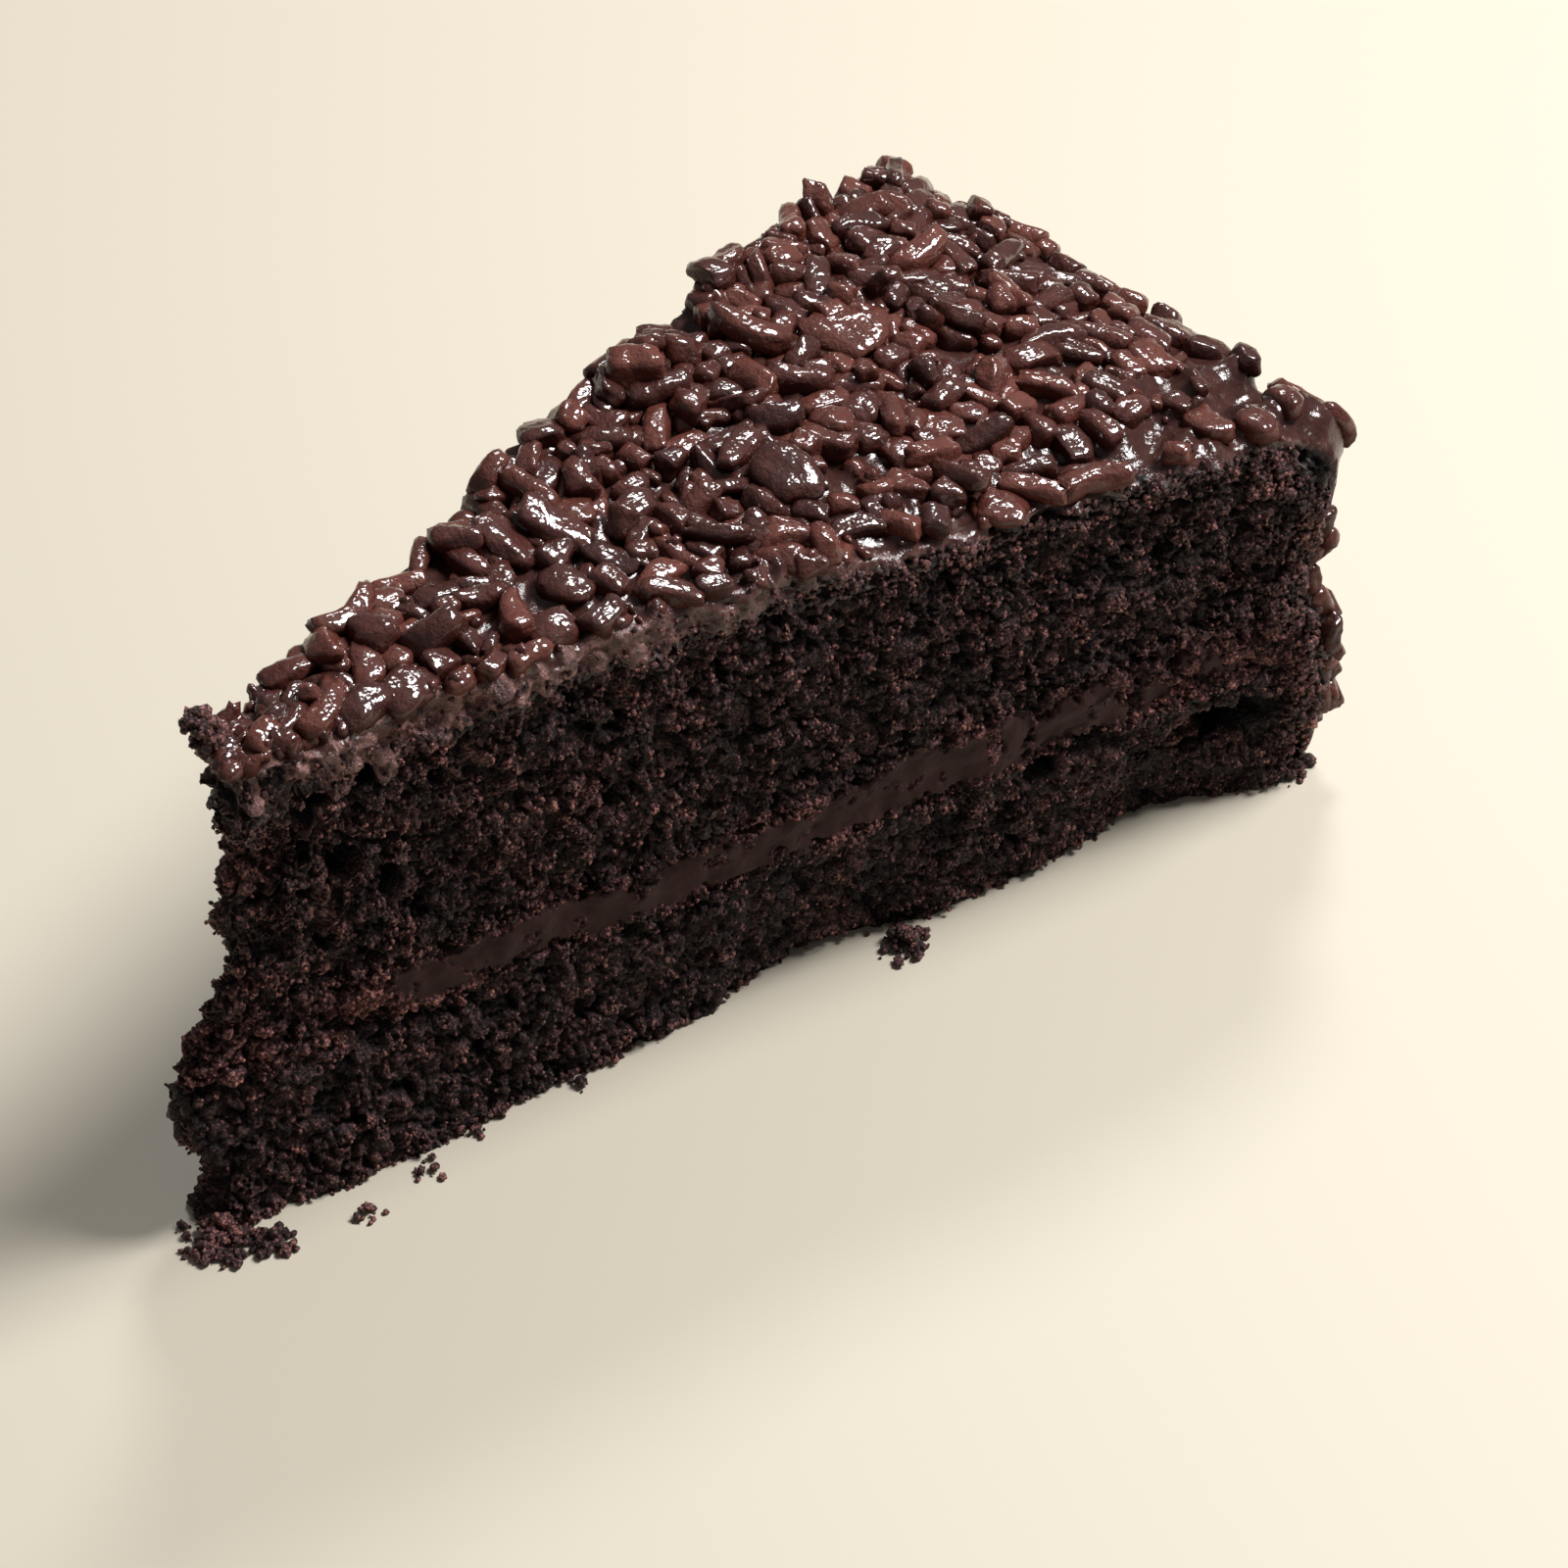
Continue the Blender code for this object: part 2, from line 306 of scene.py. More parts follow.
def crumb_relief(points):
    """Open crumb: lumps broken into knobs and small granules, with crevices and gaps between."""
    bent = drift(drift(points, 1.6, 0.55), 0.55, 0.22)
    lump, next_lump = cells(bent, 2.3)
    knob, next_knob = cells(bent, 1.05, 4.0)
    grain, _ = cells(bent, 0.48, 3.0)
    broken = perlin(points, 3.0, 3.0)
    gap = perlin(points, 2.1, 6.0) + 0.6 * perlin(points, 0.95, 2.0) + 0.45 * perlin(points, 0.45, 7.0)
    relief = 0.42 * knobs(lump, 0.7) + 0.3 * knobs(knob, 0.65) + 0.32 * knobs(grain, 0.6)
    relief += 0.3 * perlin(points, 0.9, 8.0) + 0.3 * perlin(points, 0.4, 5.0)
    relief -= 0.9 * bell(next_lump - lump, 0.0, 0.11) * smooth(broken, -0.2, 0.2)
    relief -= 0.5 * bell(next_knob - knob, 0.0, 0.14) * smooth(-broken, -0.3, 0.2)
    relief -= 1.3 * smooth(gap, 0.4, 0.7)
    return relief - 0.45


def filling_relief(points):
    """A smooth smear with small pits."""
    pit, _ = cells(points, 3.4, 2.0)
    return 0.12 * perlin(points, 2.2) + 0.06 * perlin(points, 0.7) - 0.25 * bell(pit, 0.0, 0.1)


def smeared(radius, share, side):
    """How far dragged crumb hides the filling: at both its ends and along its edges."""
    where = along(radius, share * 6.0, side)
    patches = perlin(where.reshape(-1, 3), 2.6, 3.0) + 0.6 * perlin(where.reshape(-1, 3), 0.9, 5.0)
    patches = patches.reshape(radius.shape)
    ends = 1.0 - smooth(radius, 17.0, 27.0) + 0.45 * smooth(radius, 84.0, 104.0)
    edges = 1.0 - smooth(np.minimum(1.3 * share, 1.0 - share), 0.02, 0.34)
    return smooth(patches + 1.6 * ends + 1.0 * edges, 0.22, 0.6)


def outline():
    """(radius, side) round the slice: the near cut, the hidden outer side, the far cut and the tip."""
    near = np.arange(TIP_RADIUS, SPONGE_RADIUS, NEAR_STEP)
    far = np.arange(SPONGE_RADIUS, TIP_RADIUS, -FAR_STEP)
    rim = np.linspace(-1, 1, int(2 * HALF_ANGLE * SPONGE_RADIUS / RIM_STEP))
    tip = np.linspace(1, -1, int(2 * HALF_ANGLE * TIP_RADIUS / NEAR_STEP) + 2)[1:-1]
    radius = np.concatenate([near, np.full(len(rim), SPONGE_RADIUS), far, TIP_RADIUS - 0.6 * (1 - tip**2)])
    side = np.concatenate([np.full(len(near), -1.0), rim, np.ones(len(far)), tip])
    return radius, side


def blurred(rows):
    """The rows blended up and down, for the far cut, where they are closer than the columns."""
    for _ in range(2):
        padded = np.pad(rows, ((1, 1), (0, 0)), "edge")
        rows = (padded[:-2] + 2 * padded[1:-1] + padded[2:]) / 4
    return rows


def layer(name, node, low, high, material, filled=False):
    """One layer of the slice between two heights given round the outline. Gives its points and the
    outward directions back, for crumbs to be stuck on."""
    radius, side = outline()
    bottom, top = low(radius, side), high(radius, side)
    steps = int((top - bottom).max() / HEIGHT_STEP)
    share = np.linspace(0, 1, steps + 1)[:, None] * np.ones_like(radius)
    height = bottom + (top - bottom) * share
    radii = radius + side_bulge(height) * smooth(radius, SPONGE_RADIUS - 12, SPONGE_RADIUS)
    side = side * np.ones_like(height)
    grid = place(radii, side, height)
    normal = grid_normals(grid)
    points = grid.reshape(-1, 3)
    bumps = crumb_relief(points).reshape(height.shape)
    crumb = np.ones_like(height)
    if filled:
        crumb = smeared(radius * np.ones_like(height), share, side)
        bumps = crumb * (bumps + 0.2) + (1 - crumb) * filling_relief(points).reshape(height.shape)
    bumps = np.where(side > 0.99, blurred(bumps), bumps)
    deep = holes(radius * np.ones_like(height), height, side)
    # Painted shade and light for the crumb's colour: shade is darker in the crumb's gaps and much darker in the holes
    # and the crack (painted shade), lighter on the upper crumb by the tip, where the key lamp reaches less (painted
    # light), and a little darker on the lower layer towards the tip.
    by_tip = (1 - smooth(radius, 25.0, 60.0)) * (height > FILLING_TOP)
    shade = bumps - 1.1 * deep + 0.16 * by_tip - 0.07 * (height < LOWER_TOP) * (radius < 75.0)
    foot = np.clip(height / 0.8, 0.0, 1.0) if bottom.max() < 1 else np.ones_like(height)
    bumps = bumps * np.where(radius > SPONGE_RADIUS - 0.01, 0.0, 1.0) * (0.35 + 0.65 * foot) - deep
    moved = grid + normal * bumps[..., None]
    moved[..., 2] = grid[..., 2] + (moved[..., 2] - grid[..., 2]) * foot
    # The relief attribute carries this painted shade and light to the crumb's colour.
    piece = tube(name, moved, material, relief=shade.ravel(), crumb=crumb.ravel())
    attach(piece, "root")
    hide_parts(node)
    shown = (np.abs(side) > 0.99) | (radius < TIP_RADIUS)
    return moved[shown], normal[shown], shade[shown]


# The glaze

FLAT_LENGTH = SPONGE_RADIUS - SHOULDER - TIP_RADIUS
ARC_LENGTH = (SHOULDER + 2.0) * math.pi / 2
DROP_LENGTH = float(dome(SPONGE_RADIUS, 0.0)) - SHOULDER - GLAZE_HEM
SHEET_LENGTH = FLAT_LENGTH + ARC_LENGTH + DROP_LENGTH


def sheet_radius(along_sheet):
    turn = np.clip((along_sheet - FLAT_LENGTH) / ARC_LENGTH, 0, 1) * math.pi / 2
    return TIP_RADIUS + np.minimum(along_sheet, FLAT_LENGTH) + SHOULDER * np.sin(turn)


def half_width(along_sheet):
    return sheet_radius(along_sheet) * HALF_ANGLE


def on_sheet(along_sheet, across, lift):
    """Points over the sponge's crust, unrolled: along from the tip over the shoulder and down the
    outer side, across from the middle line, and lifted off the crust."""
    turn = np.clip((along_sheet - FLAT_LENGTH) / ARC_LENGTH, 0, 1) * math.pi / 2
    radius = sheet_radius(along_sheet)
    side = across / (radius * HALF_ANGLE)
    down = np.maximum(along_sheet - FLAT_LENGTH - ARC_LENGTH, 0) / DROP_LENGTH
    start = dome(radius, side) - SHOULDER * (1 - np.cos(turn))
    height = start + (GLAZE_HEM - start) * down
    radius = radius + side_bulge(height) * np.sin(turn) ** 4 + lift * np.sin(turn)
    return place(radius, side, height + lift * np.cos(turn))


def wetness(along_sheet, across):
    """1 where the glaze lies wet and smooth between the grains, on the camera's side of the top."""
    near = smooth(-across / half_width(along_sheet), -0.1, 0.6)
    return near * np.maximum(bell(along_sheet, 56.0, 26.0), bell(along_sheet, 99.0, 14.0))


def glaze_lift(along_sheet, across):
    """Thickness of the glaze before it climbs the grains: its depth, slow waves and a few heaps."""
    flat = np.stack([along_sheet, across, along_sheet * 0], -1)
    waves = 0.35 * perlin(flat, 6.0, 3.0) + 0.15 * perlin(flat, 2.2, 1.0)
    lift = glaze_depth(sheet_radius(along_sheet)) + waves + 0.4 * wetness(along_sheet, across)
    for at_along, at_across, width, height in HEAPS:
        lift += height * np.exp(-((along_sheet - at_along) ** 2 + (across - at_across) ** 2) / width**2)
    return lift


HEAPS = (
    # along, across, width, height: ridges and bowls of bare glaze by the near corner
    (107.5, -18.5, 2.3, -1.5),
    (105.5, -21.5, 1.6, 1.5),
    (104.5, -16.5, 1.8, 1.3),
    (109.5, -15.5, 2.2, 1.7),
    (110.5, -22.0, 2.3, 2.3),
    (112.8, -24.2, 2.2, 2.6),
    (115.5, -23.5, 1.8, 0.5),
    (119.5, -26.0, 3.0, -0.7),
    (113.0, 4.0, 7.0, -0.8),
    (113.0, -8.0, 5.0, -0.8),
    (9.0, 2.2, 3.0, -0.3),
    (71.7, 17.0, 2.6, -1.6),
    (91.0, -20.0, 2.8, -1.0),
    (88.0, -22.5, 1.8, 0.7),
    (95.5, -19.5, 1.9, -0.9),
    (93.5, -17.0, 1.7, 0.9),
    (98.0, -21.5, 1.6, 1.1),
)


def climb(along_sheet, across, grains):
    """How far the glaze climbs the sides of the grains."""
    balls = grains.balls()
    sunk = balls[balls[:, 2] < balls[:, 3]]
    waist = np.sqrt(np.maximum(sunk[:, 3] ** 2 - sunk[:, 2] ** 2, 0.01))
    rise = np.zeros_like(along_sheet)
    for i in range(len(along_sheet)):
        near = np.abs(sunk[:, 0] - along_sheet[i, 0]) < 3.5
        gap = np.hypot(along_sheet[i, 0] - sunk[near, 0], across[i][:, None] - sunk[near, 1])
        part = np.exp(-np.maximum(gap - waist[near], 0) / 0.5)
        rise[i] = (part**3).sum(1) ** (1 / 3)
    return np.minimum(rise, 1.6) * (0.4 + 0.6 * wetness(along_sheet, across))


def cut_relief(points):
    """The knife's drag over the glaze's cut face: smears, pits and specks of crumb."""
    speck, _ = cells(drift(points, 0.9, 0.2), 0.7, 6.0)
    raised = smooth(perlin(points, 1.7, 4.0), 0.0, 0.3)
    lump, _ = cells(drift(points, 2.0, 0.5), 2.8, 8.0)
    smear = 0.3 * perlin(points, 1.8) + 0.3 * perlin(points, 0.7) + 0.3 * raised * knobs(speck, 0.6)
    return smear + 0.5 * knobs(lump, 0.6) - 0.35 * smooth(perlin(points, 1.0, 9.0), 0.2, 0.5) - 0.25


def cut_crumb(radius, level, side):
    """How far crumb hides the glaze's cut face: in patches, by its lower edge and beyond the middle."""
    where = along(radius, level * 3.0, side).reshape(-1, 3)
    patches = (perlin(where, 2.4, 11.0) + 0.6 * perlin(where, 0.8, 13.0)).reshape(radius.shape)
    beyond = 0.75 * smooth(radius, 56.0, 66.0) + 0.6 * (1 - smooth(radius, 8.0, 16.0))
    rim = 1.5 * smooth(radius, SPONGE_RADIUS - 8.0, SPONGE_RADIUS - 1.0)
    return smooth(patches + beyond + rim + 1.0 * (1 - smooth(level, 0.0, 0.45)), 0.3, 0.6)


def flat_points(along_sheet, across):
    """Points of the unrolled sheet for noise, one value back for each place."""
    return np.stack([along_sheet, across, along_sheet * 0], -1).reshape(-1, 3)


def glaze_coat(grains, material):
    rings = int(SHEET_LENGTH / GLAZE_STEP)
    down_cut = np.linspace(1, 0, CUT_ROWS + 2)[1:-1]
    under = np.linspace(1, -1, 5)
    share = np.concatenate([np.linspace(-1, 1, GLAZE_ACROSS), down_cut * 0 + 1, under, down_cut * 0 - 1])
    level = np.concatenate([np.ones(GLAZE_ACROSS), down_cut, under * 0, down_cut[::-1]])
    down = np.linspace(0, SHEET_LENGTH, rings)[:, None] * np.ones_like(share)
    share = share * np.ones_like(down)
    level = level * np.ones_like(down)
    width = half_width(down)
    across = share * width
    lift = glaze_lift(down.ravel(), across.ravel()).reshape(down.shape) + climb(down, across, grains)
    edge = np.clip(width - np.abs(across), 0, 0.8) / 0.8
    lift = lift - 0.6 * (1 - np.sqrt(1 - (1 - edge) ** 2))
    hem = np.clip((SHEET_LENGTH - down) / 1.6, 0, 1)
    tip = np.clip(down / 2.6, 0, 1)
    lift = lift * (0.35 + 0.65 * np.sqrt(1 - (1 - hem) ** 2)) * (0.25 + 0.75 * np.sqrt(1 - (1 - tip) ** 2))
    at_cut = (np.abs(share) > 0.999) | (down < 0.9)
    ragged = smooth(perlin(flat_points(down, across), 1.3, 6.0).reshape(down.shape), -0.3, 0.1)
    brink = (1 - smooth(width - np.abs(across), 0.0, 1.5)) * ragged
    radius = sheet_radius(down).ravel()
    drag = hang(radius, share.ravel()).reshape(down.shape) * (share < -0.999)
    low = glaze_low(radius, share.ravel()).reshape(down.shape)
    low = (low - GAP) * (np.abs(share) > 0.999) - drag
    lift = GAP + low + (lift - GAP - low) * level
    grid = on_sheet(down, across, lift)
    normal = -grid_normals(grid)
    points = grid.reshape(-1, 3)
    covered = cut_crumb(sheet_radius(down), level + 0.35 * drag / HANG, share)
    crumb = np.maximum(covered, 1 - smooth(down, 0.3, 1.6)) * at_cut
    smears = cut_relief(points).reshape(down.shape) * (1.6 - 0.6 * smooth(down, 20.0, 45.0))
    relief = smears * (1 - crumb) + crumb_relief(points).reshape(down.shape) * crumb
    relief += 0.45 * drag / HANG * (1 - smooth(level, 0.3, 0.7))
    relief = np.where(at_cut, relief, 0.04 * perlin(points, 0.8).reshape(down.shape))
    grid = grid + normal * relief[..., None]
    wet = wetness(down, across)
    # The cut field lightens the glaze's cut face, most on its left part: partly a lighter smear and partly painted
    # sheen standing in for wet reflections. The relief field also gives the crumb on the cut its painted shade and
    # light.
    fields = {
        "cut": np.maximum(at_cut & ((level < 0.999) | (down < 0.9)), brink) * (1 - 0.72 * smooth(down, 28.0, 50.0)),
        "crumb": crumb * 1.0,
        "wet": wet,
        "relief": relief,
    }
    fields = {field: values[:, ::-1].ravel() for field, values in fields.items()}
    piece = tube("glaze_coat", grid[:, ::-1], material, **fields)
    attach(piece, "root")
    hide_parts("glaze")
    return grid.reshape(-1, 3)


# The grains

class Grains:
    """Chocolate grains on the unrolled sheet: each is five balls in a fixed shape, for packing, and a
    rounded body drawn round them."""

    def __init__(self, sizes, flat):
        self.sizes = sizes
        self.flat = flat
        count = len(sizes)
        self.radius = np.where(flat, sizes[:, 2], sizes[:, 1])
        reach = np.maximum(sizes[:, 0] - self.radius, 0.05)
        spread = np.where(flat, np.maximum(sizes[:, 1] - self.radius, 0.05), 0.0)
        self.shape = np.zeros((count, 5, 3))
        self.shape[:, 1, 0] = reach
        self.shape[:, 2, 0] = -reach
        self.shape[:, 3, 0] = np.where(flat, 0, reach / 2)
        self.shape[:, 4, 0] = np.where(flat, 0, -reach / 2)
        self.shape[:, 3, 1] = spread
        self.shape[:, 4, 1] = -spread
        self.centre = np.zeros((count, 3))
        self.turn = np.zeros((count, 3, 3))

    def scatter(self, area):
        """Puts each grain where it has most room, out of a few random places."""
        reach = self.sizes[:, :2].mean(1)
        placed = np.zeros((0, 3))
        for i in range(len(self.sizes)):
            tries = area(RANDOM, 10)
            if i:
                gaps = np.hypot(tries[:, None, 0] - placed[:, 0], tries[:, None, 1] - placed[:, 1])
                room = (gaps - placed[:, 2]).min(1)
                spot = tries[np.argmax(room)]
            else:
                spot = tries[0]
            placed = np.vstack([placed, (*spot, reach[i])])
            yaw = RANDOM.uniform(0, math.pi)
            pitch = RANDOM.normal(0, 0.55)
            self.turn[i] = np.array(Matrix.Rotation(yaw, 3, "Z") @ Matrix.Rotation(pitch, 3, "Y"))
            self.centre[i] = (*spot, RANDOM.uniform(0.5, 3.0))

    def spheres(self):
        return self.centre[:, None] + np.einsum("nij,nkj->nki", self.turn, self.shape)

    def balls(self):
        """(along, across, height, radius) of every ball."""
        at = self.spheres()
        radius = np.repeat(self.radius[:, None], 5, 1)[..., None]
        return np.concatenate([at, radius], -1).reshape(-1, 4)

    def settle(self, floor, steps, still, count):
        """Lets the grains up to count sink to the glaze and push each other apart, all but the still ones."""
        bulk = np.linalg.norm(self.shape, axis=-1).max(1) + self.radius
        number = np.arange(len(bulk))
        moving = (number >= still) & (number < count)
        for step in range(steps):
            if step % 8 == 0:
                gap = np.linalg.norm(self.centre[:, None] - self.centre, axis=-1)
                close = np.triu(gap < bulk[:, None] + bulk + 0.8, 1) & (number < count) & moving[None]
                first, second = np.nonzero(close)
            at = self.spheres()
            at[..., 2] -= 0.12
            apart = at[first][:, :, None] - at[second][:, None]
            length = np.maximum(np.linalg.norm(apart, axis=-1, keepdims=True), 1e-6)
            wanted = (self.radius[first] + self.radius[second])[:, None, None, None] * TOUCH
            push = 0.3 * apart / length * np.maximum(wanted - length, 0)
            push *= np.where(first < still, 1.6, 1.0)[:, None, None, None]
            np.add.at(at, first, push.sum(2))
            np.add.at(at, second, -push.sum(1))
            lowest, edge, start, end = floor(at)
            room = self.radius[:, None]
            at[..., 2] = np.maximum(at[..., 2], lowest + room * (1 - 2 * self.sunk[:, None]))
            at[..., 1] = np.clip(at[..., 1], -edge + 0.95 * room, edge - 0.7 * room)
            at[..., 0] = np.clip(at[..., 0], start, end)
            self.centre[moving] = at.mean(1)[moving]
            spread = np.einsum("nki,nkj->nij", at - at.mean(1)[:, None], self.shape)
            u, _, vt = np.linalg.svd(spread + 0.05 * self.turn)
            fix = np.linalg.det(u @ vt)
            u[:, :, 2] *= fix[:, None]
            self.turn[moving] = (u @ vt)[moving]


BARE = (
    # along, across, reach: patches of smooth glaze with hardly a grain
    (107.3, -18.5, 3.6),
    (91.0, -20.5, 3.6),
    (95.5, -19.5, 2.8),
    (111.0, -25.0, 3.6),
    (116.0, -26.0, 3.0),
    (71.7, 17.5, 3.4),
)

PILES = (
    # along, across, reach, grains: where they lie heaped on one another
    (57.0, 11.0, 7.0, 12),
    (64.5, 15.0, 3.0, 8),
    (47.0, 6.8, 5.0, 8),
    (11.5, -0.8, 2.2, 4),
    (20.0, 4.5, 3.0, 6),
    (27.0, 3.5, 4.0, 6),
    (84.0, 18.0, 5.0, 10),
    (92.0, 21.0, 5.0, 9),
    (103.0, 22.0, 6.0, 12),
    (106.0, 25.0, 2.5, 4),
    (111.5, -21.5, 1.4, 3),
    (60.0, 0.0, 9.0, 9),
    (125.5, -26.0, 0.8, 2),
    (122.0, -24.0, 1.0, 1),
    (137.0, -26.0, 2.0, 2),
    (133.0, -23.5, 3.0, 3),
    (140.0, -25.0, 3.0, 4),
    (84.0, 4.0, 9.0, 9),
)

LARGEST = (
    # along, across, half length, half width, half depth, turned in degrees
    (82.1, 6.1, 4.2, 2.6, 0.9, -25.0),
    (62.7, -5.0, 3.3, 2.8, 1.5, 40.0),
    (62.9, 11.5, 2.3, 1.9, 1.7, 0.0),
    (37.4, 4.6, 3.4, 2.4, 0.9, 80.0),
    (67.2, 4.5, 2.4, 2.2, 0.8, 10.0),
    (73.9, 10.3, 4.0, 1.3, 1.2, -50.0),
    (44.0, 2.1, 3.7, 1.8, 0.9, 90.0),
    (21.3, 1.7, 2.2, 1.8, 1.4, 45.0),
    (26.9, -1.3, 2.6, 1.5, 1.4, 50.0),
    (97.0, 12.0, 3.3, 1.4, 1.3, 10.0),
    (52.0, -7.2, 3.0, 2.1, 0.9, -40.0),
    (87.5, -6.0, 2.4, 1.9, 1.2, 30.0),
)

BASE_GRAINS = 410
LOOSE_GRAINS = 120
TOUCH = 0.86
FIRST_GRAIN = 6.5


def grain_area(random, count):
    """Random places on the sheet, none in a bare patch."""
    found = []
    while len(found) < count:
        along_sheet = random.uniform(FIRST_GRAIN, SHEET_LENGTH - 2.0)
        across = random.uniform(-1, 1) * half_width(SHEET_LENGTH)
        if abs(across) > half_width(along_sheet) - 0.3:
            continue
        if any(math.hypot(along_sheet - a, across - c) < reach for a, c, reach in BARE):
            continue
        found.append((along_sheet, across))
    return np.array(found)


def loose_area(count):
    """Random places for the second layer, fewer by the near edge where the glaze lies bare."""
    found = []
    while len(found) < count:
        spot = grain_area(RANDOM, 1)[0]
        edge = half_width(spot[0])
        if spot[0] < FLAT_LENGTH - 2.0 + 8.0 * (spot[1] > 10.0) and RANDOM.uniform(0, 1) < 0.12 + smooth(spot[1] + edge, 3.0, 9.0):
            found.append(spot)
    return np.array(found)


def sheet_floor(at):
    edge = half_width(at[..., 0])
    return 0.0, edge, FIRST_GRAIN - 1.5, SHEET_LENGTH - 1.2


def grain_sizes(count):
    """Half lengths, half widths and half depths, and which grains are flat chips."""
    kind = RANDOM.uniform(0, 1, count)
    flat = kind < 0.27
    small = kind > 0.8
    length = np.where(flat, RANDOM.uniform(1.6, 3.0, count), 1.3 + 2.1 * RANDOM.uniform(0, 1, count) ** 1.8)
    width = np.where(flat, RANDOM.uniform(1.3, 2.1, count), RANDOM.uniform(0.95, 1.35, count))
    depth = np.where(flat, RANDOM.uniform(0.75, 1.2, count), width * RANDOM.uniform(0.85, 1.05, count))
    scale = np.where(small, RANDOM.uniform(0.5, 0.75, count), 1.0)
    return np.stack([np.maximum(length, width * 1.1), width, depth], -1) * scale[:, None], flat, small


def make_grains():
    piled = sum(pile[3] for pile in PILES)
    largest = np.array(LARGEST)
    sizes, flat, small = grain_sizes(BASE_GRAINS + piled + LOOSE_GRAINS + len(largest))
    sizes[-len(largest):] = largest[:, 2:5]
    flat[-len(largest):] = largest[:, 3] > 1.2 * largest[:, 4]
    small[-len(largest):] = False
    grains = Grains(sizes, flat)
    grains.small = small
    grains.sunk = RANDOM.uniform(0.0, 0.2, len(sizes))
    grains.scatter(grain_area)
    on_side = grains.centre[:, 0] > FLAT_LENGTH + ARC_LENGTH
    grains.sunk = np.where(on_side, grains.sunk + 0.22, grains.sunk)
    start = BASE_GRAINS
    for at_along, at_across, reach, count in PILES:
        spot = slice(start, start + count)
        grains.centre[spot, 0] = at_along + RANDOM.uniform(-reach, reach, count)
        grains.centre[spot, 1] = at_across + RANDOM.uniform(-reach, reach, count) * 0.5
        start += count
    grains.centre[start:-len(largest), :2] = loose_area(LOOSE_GRAINS)
    grains.centre[BASE_GRAINS:, 2] = RANDOM.uniform(4.0, 6.5, len(sizes) - BASE_GRAINS)
    grains.centre[-len(largest):] = np.stack([largest[:, 0], largest[:, 1], largest[:, 0] * 0 + 9.0], -1)
    for number, turned in zip(range(-len(largest), 0), np.radians(largest[:, 5])):
        grains.turn[number] = np.array(Matrix.Rotation(turned, 3, "Z"))
    steps = 120
    grains.settle(sheet_floor, steps, 0, BASE_GRAINS)
    grains.settle(sheet_floor, steps, BASE_GRAINS, len(sizes))
    return grains


def ball_directions(steps):
    """A cube's grid of directions, as points on a unit ball, with its quads."""
    tick = np.tan(np.linspace(-math.pi / 4, math.pi / 4, steps + 1))
    points, faces, known = [], [], {}
    for axis in range(3):
        for sign in (-1, 1):
            index = np.zeros((steps + 1, steps + 1), int)
            for i, a in enumerate(tick):
                for j, b in enumerate(tick):
                    point = np.insert(np.array((a, b)), axis, sign)
                    key = tuple(np.round(point, 5))
                    if key not in known:
                        known[key] = len(points)
                        points.append(point / np.linalg.norm(point))
                    index[i, j] = known[key]
            quads = np.stack([index[:-1, :-1], index[1:, :-1], index[1:, 1:], index[:-1, 1:]], -1).reshape(-1, 4)
            flip = sign * (-1 if axis == 1 else 1) < 0
            faces.append(quads[:, ::-1] if flip else quads)
    return np.array(points), np.concatenate(faces)


def grain_bodies(grains, chosen, steps):
    """Blunt rounded bodies with worn facets for some of the grains, in their own frames."""
    way, faces = ball_directions(steps)
    size = grains.sizes[chosen]
    flat = grains.flat[chosen][:, None]
    count = len(size)
    round_off = RANDOM.uniform(2.5, 4.0, (count, 1))
    blunt = np.where(flat, RANDOM.uniform(2.6, 4.0, (count, 1)), RANDOM.uniform(4.0, 8.0, (count, 1)))
    ways = np.abs(way[None])
    girth = np.where(
        flat,
        (ways[..., 0] ** round_off + ways[..., 1] ** round_off) ** (1 / round_off),
        (ways[..., 1] ** round_off + ways[..., 2] ** round_off) ** (1 / round_off),
    )
    end = np.where(flat, ways[..., 2], ways[..., 0])
    fit = (girth**blunt + end**blunt) ** (-1 / blunt)
    body = way[None] * fit[..., None] * size[:, None]
    for _ in range(4):
        plane = RANDOM.normal(size=(count, 3)) * np.where(flat, (1.0, 1.0, 0.25), (0.7, 1.0, 1.0)) / size
        plane /= np.linalg.norm(plane, axis=1, keepdims=True)
        depth = (body * plane[:, None]).sum(-1)
        cap = depth.max(1, keepdims=True) * RANDOM.uniform(0.68, 0.95, (count, 1))
        body -= plane[:, None] * (np.maximum(depth - cap, 0) * 0.88)[..., None]
    taper = RANDOM.uniform(-0.14, 0.14, (count, 1)) * body[..., 0] / size[:, :1]
    body[..., 1:] *= 1 + taper[..., None]
    where = (body + RANDOM.uniform(0, 900, (count, 1, 3))).reshape(-1, 3)
    swell = 0.12 * perlin(where, 2.4) + 0.17 * perlin(where, 1.3) + 0.09 * perlin(where, 0.7)
    body *= 1 + swell.reshape(count, -1, 1)
    body[..., 1] += RANDOM.normal(0, 0.05, (count, 1)) * body[..., 0] ** 2
    body[..., 2] += RANDOM.normal(0, 0.03, (count, 1)) * body[..., 0] ** 2
    return body, faces


